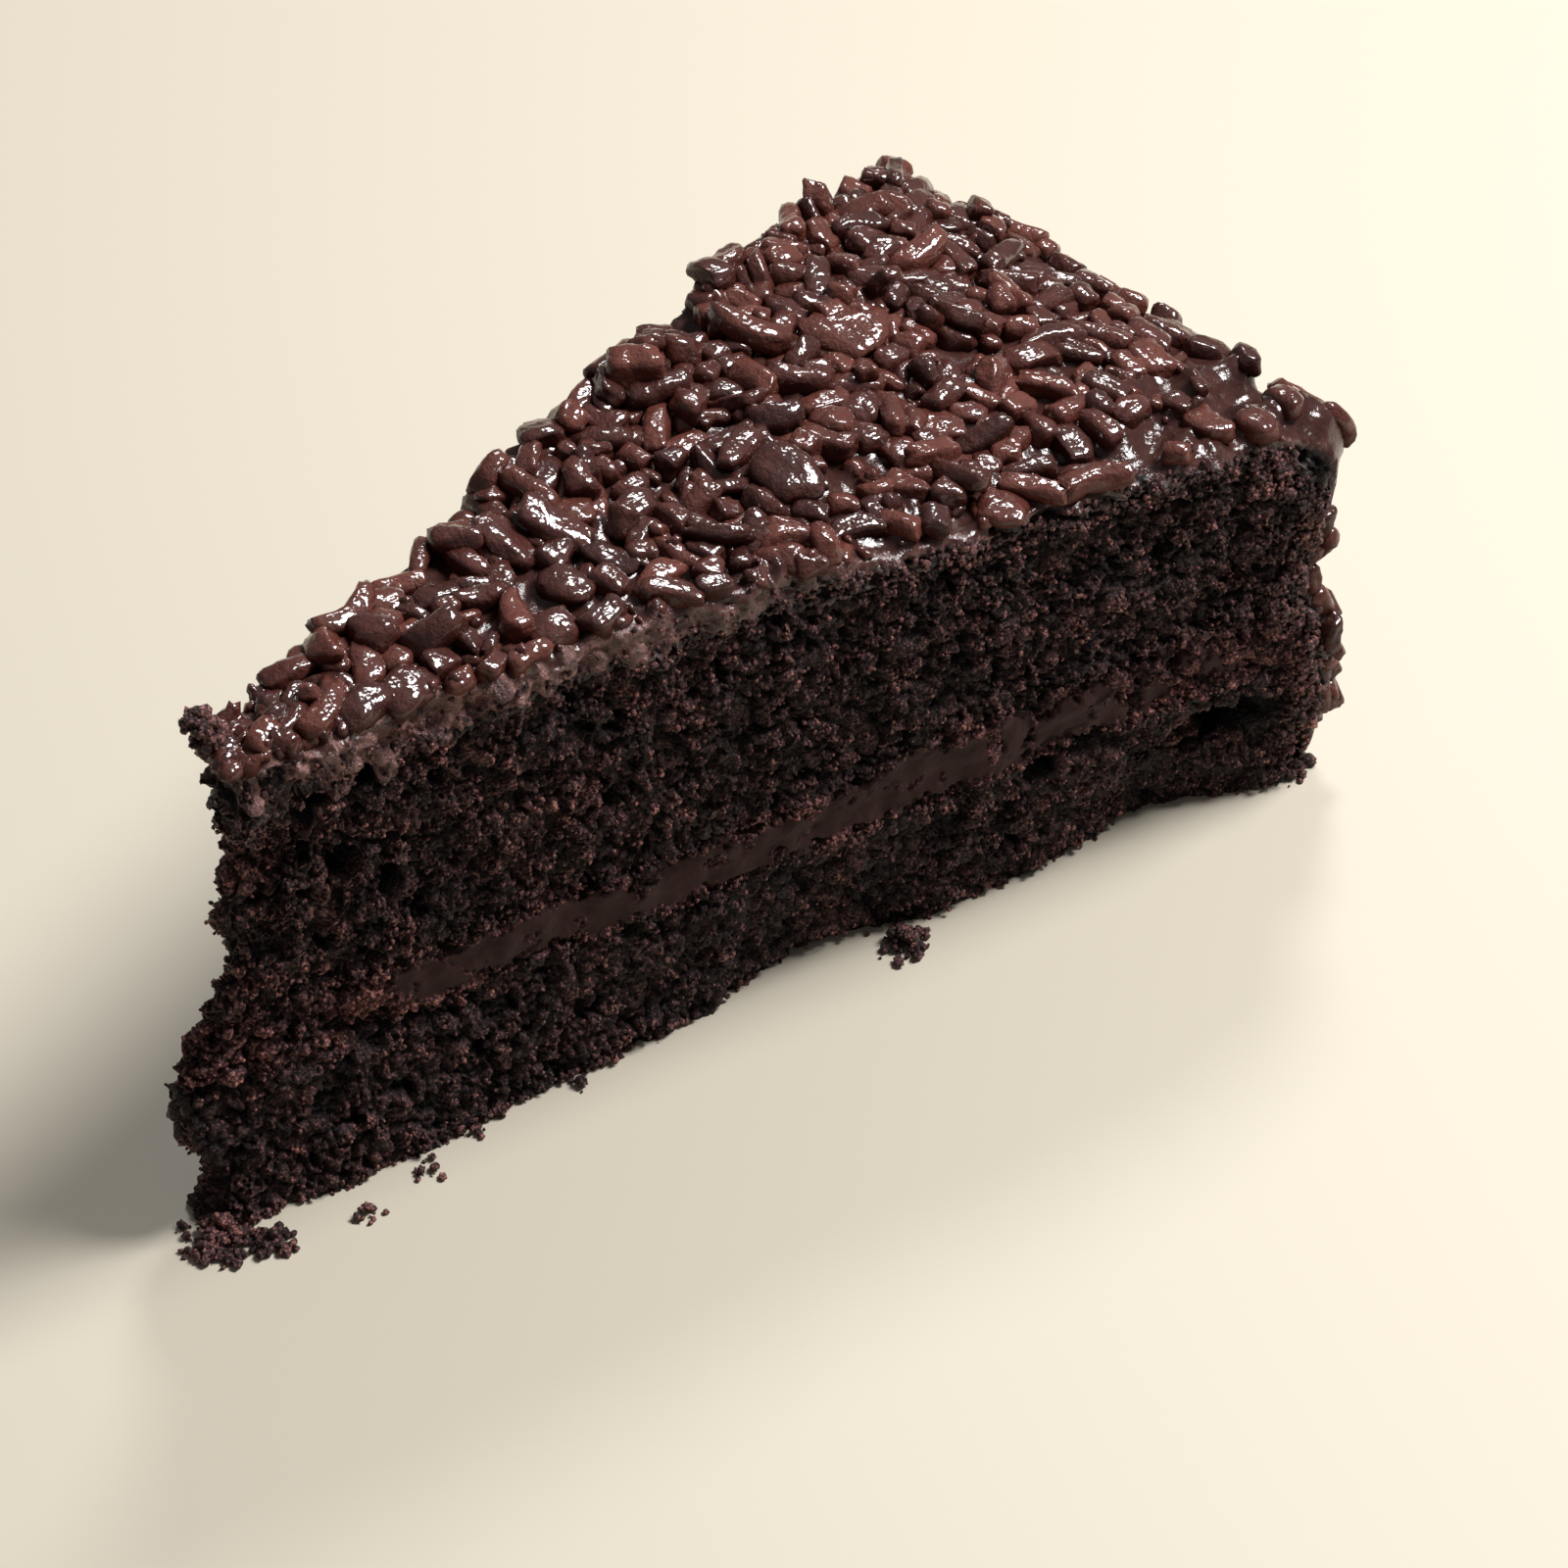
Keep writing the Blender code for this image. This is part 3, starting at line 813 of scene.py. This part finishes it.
def grain_frames(grains, chosen):
    """Where the chosen grains stand on the slice: their centres, and the sheet's own axes there."""
    centre = grains.centre[chosen]
    depth = glaze_lift(centre[:, 0], centre[:, 1])
    step = 0.3

    def at(shift_along, shift_across, shift_lift):
        along_sheet = np.clip(centre[:, 0] + shift_along, 0, SHEET_LENGTH)
        return on_sheet(along_sheet, centre[:, 1] + shift_across, depth + centre[:, 2] + shift_lift)

    ahead = at(step, 0, 0) - at(-step, 0, 0)
    up = at(0, 0, step) - at(0, 0, -step)
    ahead /= np.linalg.norm(ahead, axis=1, keepdims=True)
    up -= ahead * (up * ahead).sum(1, keepdims=True)
    up /= np.linalg.norm(up, axis=1, keepdims=True)
    frame = np.stack([ahead, np.cross(up, ahead), up], -1)
    return at(0, 0, 0), frame @ grains.turn[chosen]


def mark_tops(piece):
    """Marks where small bodies are wet: 1 on their tops and 0 where they face down."""
    mesh = piece.data
    normal = np.zeros(len(mesh.vertices) * 3, np.float32)
    mesh.vertex_normals.foreach_get("vector", normal)
    wet = smooth(normal[2::3], -0.05, 0.4).astype(np.float32)
    mesh.attributes.new("wet", "FLOAT", "POINT").data.foreach_set("value", wet)


def grain_piece(name, grains, chosen, steps, material):
    body, faces = grain_bodies(grains, chosen, steps)
    centre, frame = grain_frames(grains, chosen)
    points = centre[:, None] + np.einsum("nij,nkj->nki", frame, body)
    count, each = points.shape[:2]
    all_faces = (faces[None] + (np.arange(count) * each)[:, None, None]).reshape(-1, 4)
    tone = np.repeat(RANDOM.uniform(0, 1, count), each)
    piece = build_mesh(name, points.reshape(-1, 3), all_faces.tolist(), material, tone=tone)
    mark_tops(piece)
    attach(piece, "root")
    return piece


def scatter_nibs(count, grains):
    """Places for small wet bits on the glaze between the grains, most by the tip and the near edge."""
    found = []
    while len(found) < count:
        along_sheet = RANDOM.uniform(0.5, FLAT_LENGTH)
        edge = half_width(along_sheet)
        across = RANDOM.uniform(-0.93, 0.93) * edge
        wanted = 0.2 + bell(along_sheet, 3.0, 5.0) + 0.5 * bell(across, -edge, 3.0)
        crowded = any(math.hypot(along_sheet - a, across - c) < reach * 0.8 for a, c, reach in BARE)
        if RANDOM.uniform(0, 1) < wanted and not crowded:
            found.append((along_sheet, across, 0.0))
    spots = np.array(found)
    spots[:, 2] = climb(spots[:, :1], spots[:, 1:2], grains)[:, 0]
    return spots


def make_nibs(grains, material):
    spots = scatter_nibs(310, grains)
    size = RANDOM.uniform(0.3, 0.8, len(spots)) * (1 + 0.5 * bell(spots[:, 0], 4.0, 5.0))
    depth = glaze_lift(spots[:, 0], spots[:, 1]) + spots[:, 2] + 0.15 * size
    centre = on_sheet(spots[:, 0], spots[:, 1], depth)
    way, faces = ball_directions(3)
    stretch = RANDOM.uniform(0.6, 1.5, (len(spots), 1, 3))
    body = way[None] * stretch * size[:, None, None] + centre[:, None]
    rough = 0.45 * perlin(body.reshape(-1, 3), 1.0, 2.0) + 0.35 * perlin(body.reshape(-1, 3), 0.45, 3.0)
    body = centre[:, None] + (body - centre[:, None]) * (1 + rough.reshape(len(spots), -1, 1))
    all_faces = (faces[None] + (np.arange(len(spots)) * len(way))[:, None, None]).reshape(-1, 4)
    tone = np.repeat(RANDOM.uniform(0, 0.7, len(spots)), len(way))
    piece = build_mesh("nibs", body.reshape(-1, 3), all_faces.tolist(), material, tone=tone)
    mark_tops(piece)
    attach(piece, "root")


# Loose crumbs

def crumb_bodies(centres, sizes, steps=2):
    """Small rough lumps."""
    way, faces = ball_directions(steps)
    count = len(centres)
    stretch = RANDOM.uniform(0.65, 1.35, (count, 1, 3))
    rough = RANDOM.uniform(0.7, 1.25, (count, len(way), 1))
    body = way[None] * stretch * rough * sizes[:, None, None] + centres[:, None]
    all_faces = (faces[None] + (np.arange(count) * len(way))[:, None, None]).reshape(-1, 4)
    return body.reshape(-1, 3), all_faces


def stuck_crumbs(count, points, normals, wanted, sizes):
    """Granules stuck on a cut, at some of its points. wanted is how likely each point is taken."""
    chosen = RANDOM.choice(len(points), count, p=wanted / wanted.sum())
    size = RANDOM.uniform(*sizes, count)
    return points[chosen] + normals[chosen] * (RANDOM.uniform(0.0, 0.8, count) * size)[:, None], size


def crumbs_on_cut(count, span, height_at, spread, sizes):
    """Crumbs stuck to the near cut about a line, given as a height at each radius."""
    radius = RANDOM.uniform(*span, count)
    height = height_at(radius) + RANDOM.normal(0, spread, count)
    at = place(radius, np.full(count, -1.0), height)
    size = RANDOM.uniform(*sizes, count)
    out = np.array((-math.sin(HALF_ANGLE), -math.cos(HALF_ANGLE), 0.0))
    return at + out * (RANDOM.uniform(-0.2, 0.6, count) * size)[:, None], size


CLUMPS = (
    # x, y, z, spread, count, largest: heaps of crumb at the foot and on the tip
    (-59.6, -3.2, 0.0, 2.2, 170, 0.6),
    (-61.8, -4.2, 0.0, 1.3, 60, 0.5),
    (-57.0, -6.9, 0.0, 1.4, 90, 0.55),
    (-49.0, -10.0, 0.0, 1.0, 14, 0.45),
    (-42.0, -9.8, 0.0, 1.0, 16, 0.45),
    (-35.2, -8.9, 0.0, 0.8, 14, 0.45),
    (-24.9, -10.9, 0.0, 0.7, 12, 0.45),
    (8.7, -17.8, 0.0, 1.7, 100, 0.55),
    (52.0, -26.0, 0.0, 1.7, 80, 0.6),
    (-54.0, 2.4, 51.3, 1.3, 110, 0.62),
    (-53.8, 2.5, 52.5, 0.5, 12, 0.5),
    (-53.5, 1.8, 49.8, 1.4, 110, 0.62),
    (-52.8, 0.6, 48.6, 1.1, 60, 0.5),
)


def clumps():
    centres, sizes = [], []
    for x, y, z, spread, count, largest in CLUMPS:
        size = largest * RANDOM.uniform(0.3, 1.0, count) ** 1.5
        at = RANDOM.normal(0, spread / 1.7, (count, 2))
        if z > 0:
            at *= np.minimum(1.0, spread / np.hypot(at[:, :1], at[:, 1:]))
        dome_here = np.maximum(0.0, 1.1 - np.hypot(at[:, 0], at[:, 1]) / spread)
        height = size * 0.75 + dome_here * RANDOM.uniform(0, 0.9 * spread, count)
        centres.append(np.stack([x + at[:, 0], y + at[:, 1], z + height], -1))
        sizes.append(size)
    return np.concatenate(centres), np.concatenate(sizes)


LOOSE = 0.8


def surface_tree(points):
    tree = kdtree.KDTree(len(points))
    for number, point in enumerate(points.tolist()):
        tree.insert(point, number)
    tree.balance()
    return tree


def pulled_in(crumbs, tree):
    """Crumbs that stand clear of the slice are moved until they touch it."""
    centres, sizes = crumbs
    for i, size in enumerate(sizes):
        nearest, _, gap = tree.find(centres[i])
        if gap > LOOSE * size:
            centres[i] = np.array(nearest) + (centres[i] - np.array(nearest)) * 0.5 * size / gap
    return centres, sizes


def on_near(line):
    """A line of heights on the near cut, from a function of radius and side."""
    return lambda radius: line(radius, -np.ones_like(radius))


def crumbs_on_rim(count, sizes):
    """Crumbs stuck to the near cut of the round side and of the glaze over it."""
    height = RANDOM.uniform(2.5, 36.0, count)
    radius = SPONGE_RADIUS + side_bulge(height) + RANDOM.uniform(-1.5, 1.9, count)
    at = place(radius, np.full(count, -1.0), height)
    return at, RANDOM.uniform(*sizes, count)


def crumbs_on_shoulder(count, sizes):
    radius = RANDOM.uniform(SPONGE_RADIUS - 7.0, SPONGE_RADIUS + 1.4, count)
    height = roof(np.minimum(radius, SPONGE_RADIUS), -1.0) + RANDOM.uniform(-2.5, 1.4, count)
    return place(radius, np.full(count, -1.0), height), RANDOM.uniform(*sizes, count)


def crumb_piece(name, sets, steps, relief, material):
    centres = np.concatenate([s[0] for s in sets])
    sizes = np.concatenate([s[1] for s in sets])
    body, faces = crumb_bodies(centres, sizes, steps)
    tint = np.repeat(RANDOM.uniform(*relief, len(sizes)), len(body) // len(sizes))
    piece = build_mesh(name, body, faces.tolist(), material, relief=tint, crumb=tint * 0 + 1)
    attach(piece, "root")


def make_crumbs(cuts, band, coat, material):
    points, normals, shade = (np.concatenate(part) for part in zip(*cuts))
    tree = surface_tree(np.concatenate([points, band, coat]))
    wanted = (smooth(shade, -0.1, 0.4) + 0.02) * (0.15 + smooth(perlin(points, 1.7, 2.0), -0.2, 0.3))
    granules_there = [
        stuck_crumbs(8700, points, normals, wanted, (0.1, 0.27)),
        pulled_in(crumbs_on_shoulder(450, (0.12, 0.3)), tree),
        pulled_in(crumbs_on_rim(450, (0.12, 0.3)), tree),
        pulled_in(crumbs_on_cut(350, (16, 112), on_near(filling_high), 0.4, (0.1, 0.25)), tree),
        pulled_in(crumbs_on_cut(350, (16, 112), on_near(filling_low), 0.4, (0.1, 0.25)), tree),
    ]
    crumb_piece("granules", granules_there, 1, (-0.1, 0.9), material)
    crumbs_there = [
        pulled_in(crumbs_on_cut(330, (60, 114), on_near(lambda r, s: roof(r, s) + 2.0), 0.8, (0.1, 0.34)), tree),
        pulled_in(crumbs_on_cut(220, (6, 60), on_near(lambda r, s: roof(r, s) + 1.6), 1.2, (0.1, 0.32)), tree),
        pulled_in(crumbs_on_rim(200, (0.15, 0.5)), tree),
        pulled_in(crumbs_on_shoulder(60, (0.2, 0.5)), tree),
        pulled_in(crumbs_on_cut(80, (8, 60), lambda r: 0.5 + 0 * r, 0.3, (0.15, 0.4)), tree),
        clumps(),
    ]
    crumb_piece("crumbs", crumbs_there, 2, (0.0, 0.6), material)


# Materials

def new_material(name, roughness, **sockets):
    material = bpy.data.materials.new(name)
    material.use_nodes = True
    shader = material.node_tree.nodes["Principled BSDF"]
    shader.inputs["Roughness"].default_value = roughness
    for socket, value in sockets.items():
        shader.inputs[socket.replace("_", " ")].default_value = value
    return material, material.node_tree.nodes, material.node_tree.links, shader


def noise_field(nodes, links, pitch, detail=3.0, roughness=0.55):
    """Noise over the object's own coordinates, with a pitch in millimetres."""
    where = nodes.new("ShaderNodeTexCoord")
    field = nodes.new("ShaderNodeTexNoise")
    field.inputs["Scale"].default_value = 1.0 / (pitch * MM)
    field.inputs["Detail"].default_value = detail
    field.inputs["Roughness"].default_value = roughness
    links.new(where.outputs["Object"], field.inputs["Vector"])
    return field.outputs["Fac"]


def ramp(nodes, links, value, *stops):
    """A colour ramp from (place, colour) stops."""
    node = nodes.new("ShaderNodeValToRGB")
    node.color_ramp.elements.remove(node.color_ramp.elements[1])
    node.color_ramp.elements[0].position = stops[0][0]
    node.color_ramp.elements[0].color = (*stops[0][1], 1.0)
    for position, colour in stops[1:]:
        node.color_ramp.elements.new(position).color = (*colour, 1.0)
    links.new(value, node.inputs["Fac"])
    return node.outputs["Color"]


def math_node(nodes, links, operation, first, second):
    node = nodes.new("ShaderNodeMath")
    node.operation = operation
    for socket, value in zip(node.inputs, (first, second)):
        if isinstance(value, float):
            socket.default_value = value
        else:
            links.new(value, socket)
    return node.outputs["Value"]


def attribute(nodes, name):
    node = nodes.new("ShaderNodeAttribute")
    node.attribute_name = name
    return node.outputs["Fac"]


def add_bump(nodes, links, shader, height, distance, socket="Normal"):
    node = nodes.new("ShaderNodeBump")
    node.inputs["Distance"].default_value = distance * MM
    links.new(height, node.inputs["Height"])
    links.new(node.outputs["Normal"], shader.inputs[socket])


def mix_colours(nodes, links, share, first, second):
    node = nodes.new("ShaderNodeMix")
    node.data_type = "RGBA"
    links.new(share, node.inputs["Factor"])
    links.new(first, node.inputs[6])
    links.new(second, node.inputs[7])
    return node.outputs[2]


def granules(nodes, links, pitch):
    """Small round granules packed together: 1 at their tops and 0 in the gaps between."""
    where = nodes.new("ShaderNodeTexCoord")
    bend = nodes.new("ShaderNodeTexNoise")
    bend.inputs["Scale"].default_value = 1.0 / (2.5 * pitch * MM)
    links.new(where.outputs["Object"], bend.inputs["Vector"])
    amount = nodes.new("ShaderNodeVectorMath")
    amount.operation = "MULTIPLY_ADD"
    amount.inputs[1].default_value = (1.5 * pitch * MM,) * 3
    links.new(bend.outputs["Color"], amount.inputs[0])
    links.new(where.outputs["Object"], amount.inputs[2])
    cell = nodes.new("ShaderNodeTexVoronoi")
    cell.inputs["Scale"].default_value = 1.0 / (pitch * MM)
    links.new(amount.outputs["Vector"], cell.inputs["Vector"])
    return math_node(nodes, links, "SUBTRACT", 1.0, math_node(nodes, links, "MULTIPLY", cell.outputs["Distance"], 1.35))


def crumb_height(nodes, links):
    fine = math_node(nodes, links, "MULTIPLY", granules(nodes, links, 0.36), 0.5)
    return math_node(nodes, links, "ADD", fine, noise_field(nodes, links, 0.25, 3.0, 0.7))


def crumb_colour_and_painted_light(nodes, links):
    """Painted shade and light: near black in the crumb's gaps, where shade falls, and lighter reddish brown on the
    granules' tips, where light catches them, in lighter and darker patches of the crumb's own tone.
    """
    # relief brings in the painted shade and light of the cuts, or a random tint on loose crumbs; the granules' height
    # adds painted light on their tops and painted shade between them.
    raised = math_node(nodes, links, "MULTIPLY", attribute(nodes, "relief"), 0.38)
    granule_light_and_shade = math_node(nodes, links, "MULTIPLY", crumb_height(nodes, links), 1.25)
    patches = math_node(nodes, links, "MULTIPLY", noise_field(nodes, links, 5.0, 2.0), 0.9)
    height = math_node(nodes, links, "ADD", raised, math_node(nodes, links, "ADD", granule_light_and_shade, patches))
    colour = ramp(
        nodes, links, math_node(nodes, links, "SUBTRACT", height, 0.86),
        (0.0, (0.0045, 0.0023, 0.0023)),
        (0.33, (0.028, 0.0131, 0.0132)),
        (0.58, (0.094, 0.0424, 0.0415)),
        (0.78, (0.240, 0.0980, 0.0900)),
        (1.0, (0.500, 0.2100, 0.1700)),
    )
    ash = ramp(nodes, links, noise_field(nodes, links, 1.3, 2.0), (0.5, (0, 0, 0)), (0.75, (0.006, 0.006, 0.007)))
    node = nodes.new("ShaderNodeMix")
    node.data_type = "RGBA"
    node.blend_type = "ADD"
    node.inputs["Factor"].default_value = 1.0
    links.new(colour, node.inputs[6])
    links.new(ash, node.inputs[7])
    return node.outputs[2]


def sponge_material():
    material, nodes, links, shader = new_material("sponge_crumb", 0.42, Specular_IOR_Level=0.3)
    links.new(crumb_colour_and_painted_light(nodes, links), shader.inputs["Base Color"])
    add_bump(nodes, links, shader, crumb_height(nodes, links), 0.3)
    return material


def filling_material():
    material, nodes, links, shader = new_material("filling_cream", 0.6, Specular_IOR_Level=0.12)
    cream = ramp(
        nodes, links, noise_field(nodes, links, 2.5, 4.0),
        (0.3, (0.026, 0.0116, 0.0103)),
        (0.7, (0.045, 0.0207, 0.0184)),
    )
    colour = mix_colours(nodes, links, attribute(nodes, "crumb"), cream, crumb_colour_and_painted_light(nodes, links))
    links.new(colour, shader.inputs["Base Color"])
    add_bump(nodes, links, shader, noise_field(nodes, links, 0.6, 3.0), 0.12)
    return material


def glaze_material():
    material, nodes, links, shader = new_material("glaze_wet", 0.18, Specular_IOR_Level=0.5)
    cut = attribute(nodes, "cut")
    shade = noise_field(nodes, links, 1.6, 4.0, 0.65)
    top = ramp(nodes, links, shade, (0.3, (0.031, 0.0118, 0.0098)), (0.7, (0.064, 0.0250, 0.0212)))
    # The cut face's light colours are partly a lighter smear and partly painted sheen standing in for wet reflections.
    face = ramp(
        nodes, links, shade,
        (0.3, (0.054, 0.0230, 0.0205)),
        (0.5, (0.208, 0.0985, 0.0900)),
        (0.7, (0.430, 0.2180, 0.1960)),
    )
    bare = mix_colours(nodes, links, cut, top, face)
    colour = mix_colours(nodes, links, attribute(nodes, "crumb"), bare, crumb_colour_and_painted_light(nodes, links))
    links.new(colour, shader.inputs["Base Color"])
    dull = math_node(nodes, links, "SUBTRACT", 0.2, math_node(nodes, links, "MULTIPLY", attribute(nodes, "wet"), 0.07))
    matte = math_node(nodes, links, "MAXIMUM", dull, math_node(nodes, links, "MULTIPLY", attribute(nodes, "crumb"), 0.5))
    links.new(matte, shader.inputs["Roughness"])
    grit = math_node(nodes, links, "MULTIPLY", cut, crumb_height(nodes, links))
    wave = math_node(nodes, links, "MULTIPLY", noise_field(nodes, links, 0.8, 3.0), 0.4)
    add_bump(nodes, links, shader, math_node(nodes, links, "ADD", grit, wave), 0.28)
    return material


def grain_material():
    shine = {"Specular_IOR_Level": 0.1, "Coat_Roughness": 0.12, "Coat_IOR": 1.6}
    material, nodes, links, shader = new_material("grain_chocolate", 0.45, **shine)
    tone = math_node(nodes, links, "MULTIPLY", attribute(nodes, "tone"), 0.5)
    patch = math_node(nodes, links, "MULTIPLY", noise_field(nodes, links, 1.8, 3.0), 0.5)
    colour = ramp(
        nodes, links, math_node(nodes, links, "ADD", tone, patch),
        (0.2, (0.036, 0.0098, 0.0074)),
        (0.5, (0.070, 0.0180, 0.0132)),
        (0.8, (0.130, 0.0370, 0.0255)),
    )
    links.new(colour, shader.inputs["Base Color"])
    wet = noise_field(nodes, links, 2.2, 2.0)
    wet = math_node(nodes, links, "MULTIPLY", math_node(nodes, links, "MULTIPLY", wet, 1.9), attribute(nodes, "wet"))
    links.new(wet, shader.inputs["Coat Weight"])
    add_bump(nodes, links, shader, noise_field(nodes, links, 0.8, 4.0, 0.65), 0.42)
    add_bump(nodes, links, shader, noise_field(nodes, links, 1.2, 2.0, 0.5), 0.23, "Coat Normal")
    return material


# The stage

def make_stage():
    mesh = bpy.data.meshes.new("floor")
    size = 1.5
    mesh.from_pydata([(-size, -size, 0), (size, -size, 0), (size, size, 0), (-size, size, 0)], [], [(0, 1, 2, 3)])
    floor = bpy.data.objects.new("floor", mesh)
    bpy.context.scene.collection.objects.link(floor)
    material, _, _, shader = new_material("floor_cream", 0.5)
    shader.inputs["Base Color"].default_value = (0.58, 0.525, 0.425, 1.0)
    mesh.materials.append(material)


def add_area_light(name, azimuth, elevation, distance, size, power, colour=(1.0, 1.0, 1.0)):
    """A soft light that looks at the slice. Azimuth 0 is on the far side of it from the camera, 90 to its right."""
    heading = CAMERA_HEADING - math.radians(azimuth)
    lift = math.radians(elevation)
    way = Vector((math.cos(heading) * math.cos(lift), math.sin(heading) * math.cos(lift), math.sin(lift)))
    light = bpy.data.lights.new(name, "AREA")
    light.shape = "DISK"
    light.size = size
    light.energy = power
    light.color = colour
    obj = bpy.data.objects.new(name, light)
    obj.location = way * distance + Vector((0, 0, 0.02))
    obj.rotation_euler = (-way).to_track_quat("-Z", "Y").to_euler()
    bpy.context.scene.collection.objects.link(obj)


def make_lights():
    world = bpy.data.worlds.new("studio")
    world.use_nodes = True
    world.node_tree.nodes["Background"].inputs["Color"].default_value = (1.0, 0.98, 0.96, 1.0)
    world.node_tree.nodes["Background"].inputs["Strength"].default_value = 0.13
    bpy.context.scene.world = world
    add_area_light("key", 68, 56, 0.8, 0.32, 9.4)
    add_area_light("window", 8, 46, 1.2, 0.27, 4.4)


def make_camera():
    dip, heading = CAMERA_DIP, CAMERA_HEADING
    ahead = Vector((math.cos(heading) * math.cos(dip), math.sin(heading) * math.cos(dip), -math.sin(dip)))
    right = Vector((math.sin(heading), -math.cos(heading), 0))
    up = right.cross(ahead)
    rolled_right = right * math.cos(CAMERA_ROLL) + up * math.sin(CAMERA_ROLL)
    rolled_up = up * math.cos(CAMERA_ROLL) - right * math.sin(CAMERA_ROLL)
    data = bpy.data.cameras.new("camera")
    data.sensor_width = 36.0
    data.lens = CAMERA_LENS
    data.clip_start = 0.05
    data.clip_end = 20.0
    camera = bpy.data.objects.new("camera", data)
    turn = Matrix((rolled_right, rolled_up, -ahead)).transposed().to_4x4()
    camera.matrix_world = Matrix.Translation(Vector(CAMERA_AT) * MM) @ turn
    bpy.context.scene.collection.objects.link(camera)
    bpy.context.scene.camera = camera


def main():
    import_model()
    bpy.context.scene.view_settings.view_transform = "Standard"
    sponge = sponge_material()
    cuts = [
        layer("lower_crumb", "lower_sponge", lambda r, s: 0 * r, filling_low, sponge),
        layer("upper_crumb", "upper_sponge", filling_high, lambda r, s: roof(r, s) + glaze_low(r, s), sponge),
    ]
    band, _, _ = layer("filling_band", "filling", filling_low, filling_high, filling_material(), filled=True)
    grains = make_grains()
    coat = glaze_coat(grains, glaze_material())
    chocolate = grain_material()
    grain_piece("chips", grains, np.nonzero(grains.flat & ~grains.small)[0], 6, chocolate)
    grain_piece("rods", grains, np.nonzero(~grains.flat & ~grains.small)[0], 6, chocolate)
    grain_piece("bits", grains, np.nonzero(grains.small)[0], 4, chocolate)
    make_nibs(grains, chocolate)
    make_crumbs(cuts, band, coat, sponge)
    make_stage()
    make_lights()
    make_camera()


main()
